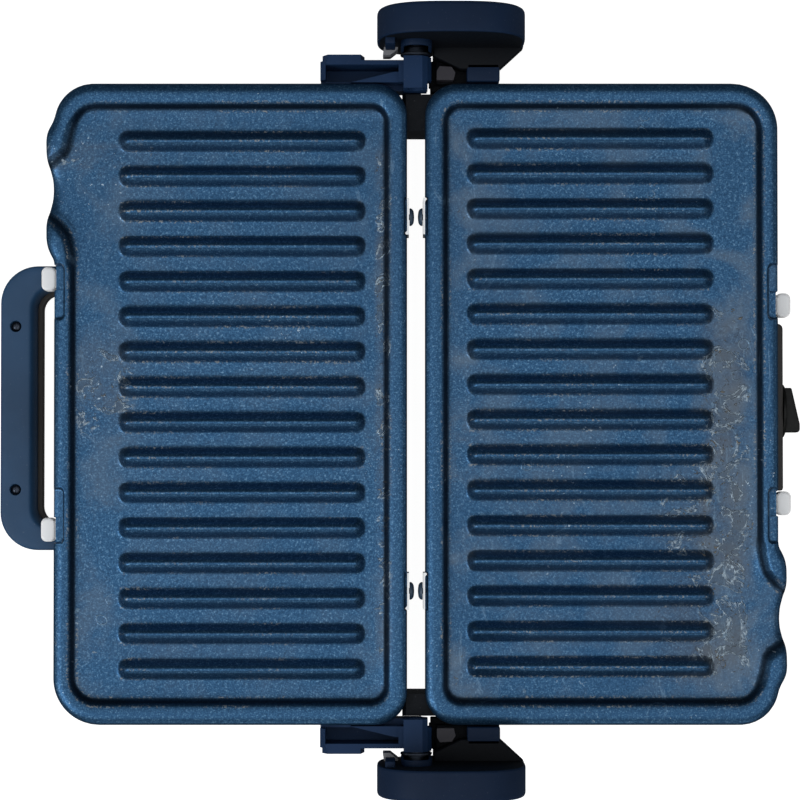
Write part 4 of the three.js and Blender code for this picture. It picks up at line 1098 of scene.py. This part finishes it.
# pressed lid cover with a rolled edge
def loop_at(inset, z):
    x0, x1, y0, y1 = 15.8 + inset, 176.6 - inset, -163.7 + inset, 163.7 - inset
    r = [17.5 - inset, 12 - inset, 12 - inset, 12 - inset]
    pts = arc_pts(x1 - r[0], y1 - r[0], r[0], 0, 90, 12) + arc_pts(x0 + r[1], y1 - r[1], r[1], 90, 180, 12)
    pts += arc_pts(x0 + r[2], y0 + r[2], r[2], 180, 270, 12) + arc_pts(x1 - r[3], y0 + r[3], r[3], 270, 360, 12)
    return [(HX - a, -b, z) for a, b in pts]


rings = [loop_at(6.0, 2.4), loop_at(3.0, 2.4), loop_at(1.4, 2.45), loop_at(0.55, 2.8), loop_at(0.12, 3.5), loop_at(0, 4.3), loop_at(0, 9.0), loop_at(1.8, 9.0), loop_at(1.8, 5.2), loop_at(2.8, 4.2), loop_at(6.0, 4.2)]
nn = len(rings[0])
cf = [(k * nn + i, k * nn + (i + 1) % nn, (k + 1) * nn + (i + 1) % nn, (k + 1) * nn + i) for k in range(len(rings) - 1) for i in range(nn)]
cf += [tuple(range(nn)), tuple((len(rings) - 1) * nn + i for i in range(nn))[::-1]]
cover = recalc(add_object("lid_cover_pressing", [q for r in rings for q in r], cf))
shade(cover, 35)
dress(cover, COVER, "lid", "lid_cover")

# dial scale on the front panel: ticks
scale_parts = []
for k in range(9):
    a = math.radians(222 - k * 30 - 12)
    long_tick = k % 2 == 0
    r0, r1 = 15.9, (18.3 if long_tick else 17.2)
    c, d = math.cos(a), math.sin(a)
    w = 0.32 if long_tick else 0.2
    pts = [(KY + r0 * c - w * d, KZ + r0 * d + w * c), (KY + r0 * c + w * d, KZ + r0 * d - w * c), (KY + r1 * c + w * d, KZ + r1 * d - w * c), (KY + r1 * c - w * d, KZ + r1 * d + w * c)]
    if min(q[1] for q in pts) < 13.6 or max(q[1] for q in pts) > 47.2:
        continue
    scale_parts.append((prism("tick", pts, HX + 203.1, HX + 203.36, axis="X"), 0))
scale = assemble("dial_scale_print", scale_parts, [MARK], 30)
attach(scale, "base")

# -------------------------------------------------------- floor, light, world
bpy.ops.mesh.primitive_plane_add(size=12, location=(0, 0, -0.0002))
floor = bpy.context.object
floor.name = "studio_floor"
fm = Mat("studio_floor").set(spec=0.0, rough=1.0)
fm.b.inputs["Emission Color"].default_value = (1.0, 1.0, 1.0, 1)
fm.b.inputs["Emission Strength"].default_value = 0.96
floor.data.materials.append(fm.out(fm.ramp(fm.noise(3, 2, 0.5), [(0.3, (0.34, 0.335, 0.33)), (0.7, (0.36, 0.355, 0.35))])))
floor.visible_glossy = False


def area(name, loc, size, radiance, target=(0, 0, 0), colour=(1, 1, 1)):
    d = bpy.data.lights.new(name, "AREA")
    d.shape = "ELLIPSE"
    d.size, d.size_y = size
    d.energy = radiance * math.pi * (math.pi / 4 * size[0] * size[1])
    d.color = colour
    o = bpy.data.objects.new(name, d)
    o.location = loc
    o.rotation_euler = (Vector(target) - Vector(loc)).to_track_quat("-Z", "Y").to_euler()
    scene.collection.objects.link(o)
    o.visible_camera = False
    return o


area("overhead", (0.0, -0.50, 2.2), (5.4, 3.0), 1.10, (0.0, -0.50, 0.0), (0.97, 1.0, 1.04))
area("key", (-1.75, -0.95, 1.9), (1.5, 1.5), 3.3, (0, 0, 0.05), (0.97, 1.0, 1.04))
area("front", (0.3, -2.6, 0.95), (3.4, 1.0), 1.15, (0, 0, 0.05))
area("left", (-3.0, -0.3, 1.0), (2.2, 1.3), 0.8, (0, 0, 0.05))
area("right", (3.0, -0.2, 0.9), (2.2, 1.0), 0.7, (0, 0, 0.05))
world = bpy.data.worlds.new("studio")
scene.world = world
world.use_nodes = True
world.node_tree.nodes["Background"].inputs["Color"].default_value = (0.90, 0.95, 1.0, 1)
world.node_tree.nodes["Background"].inputs["Strength"].default_value = 0.065
scene.view_settings.view_transform = "Standard"
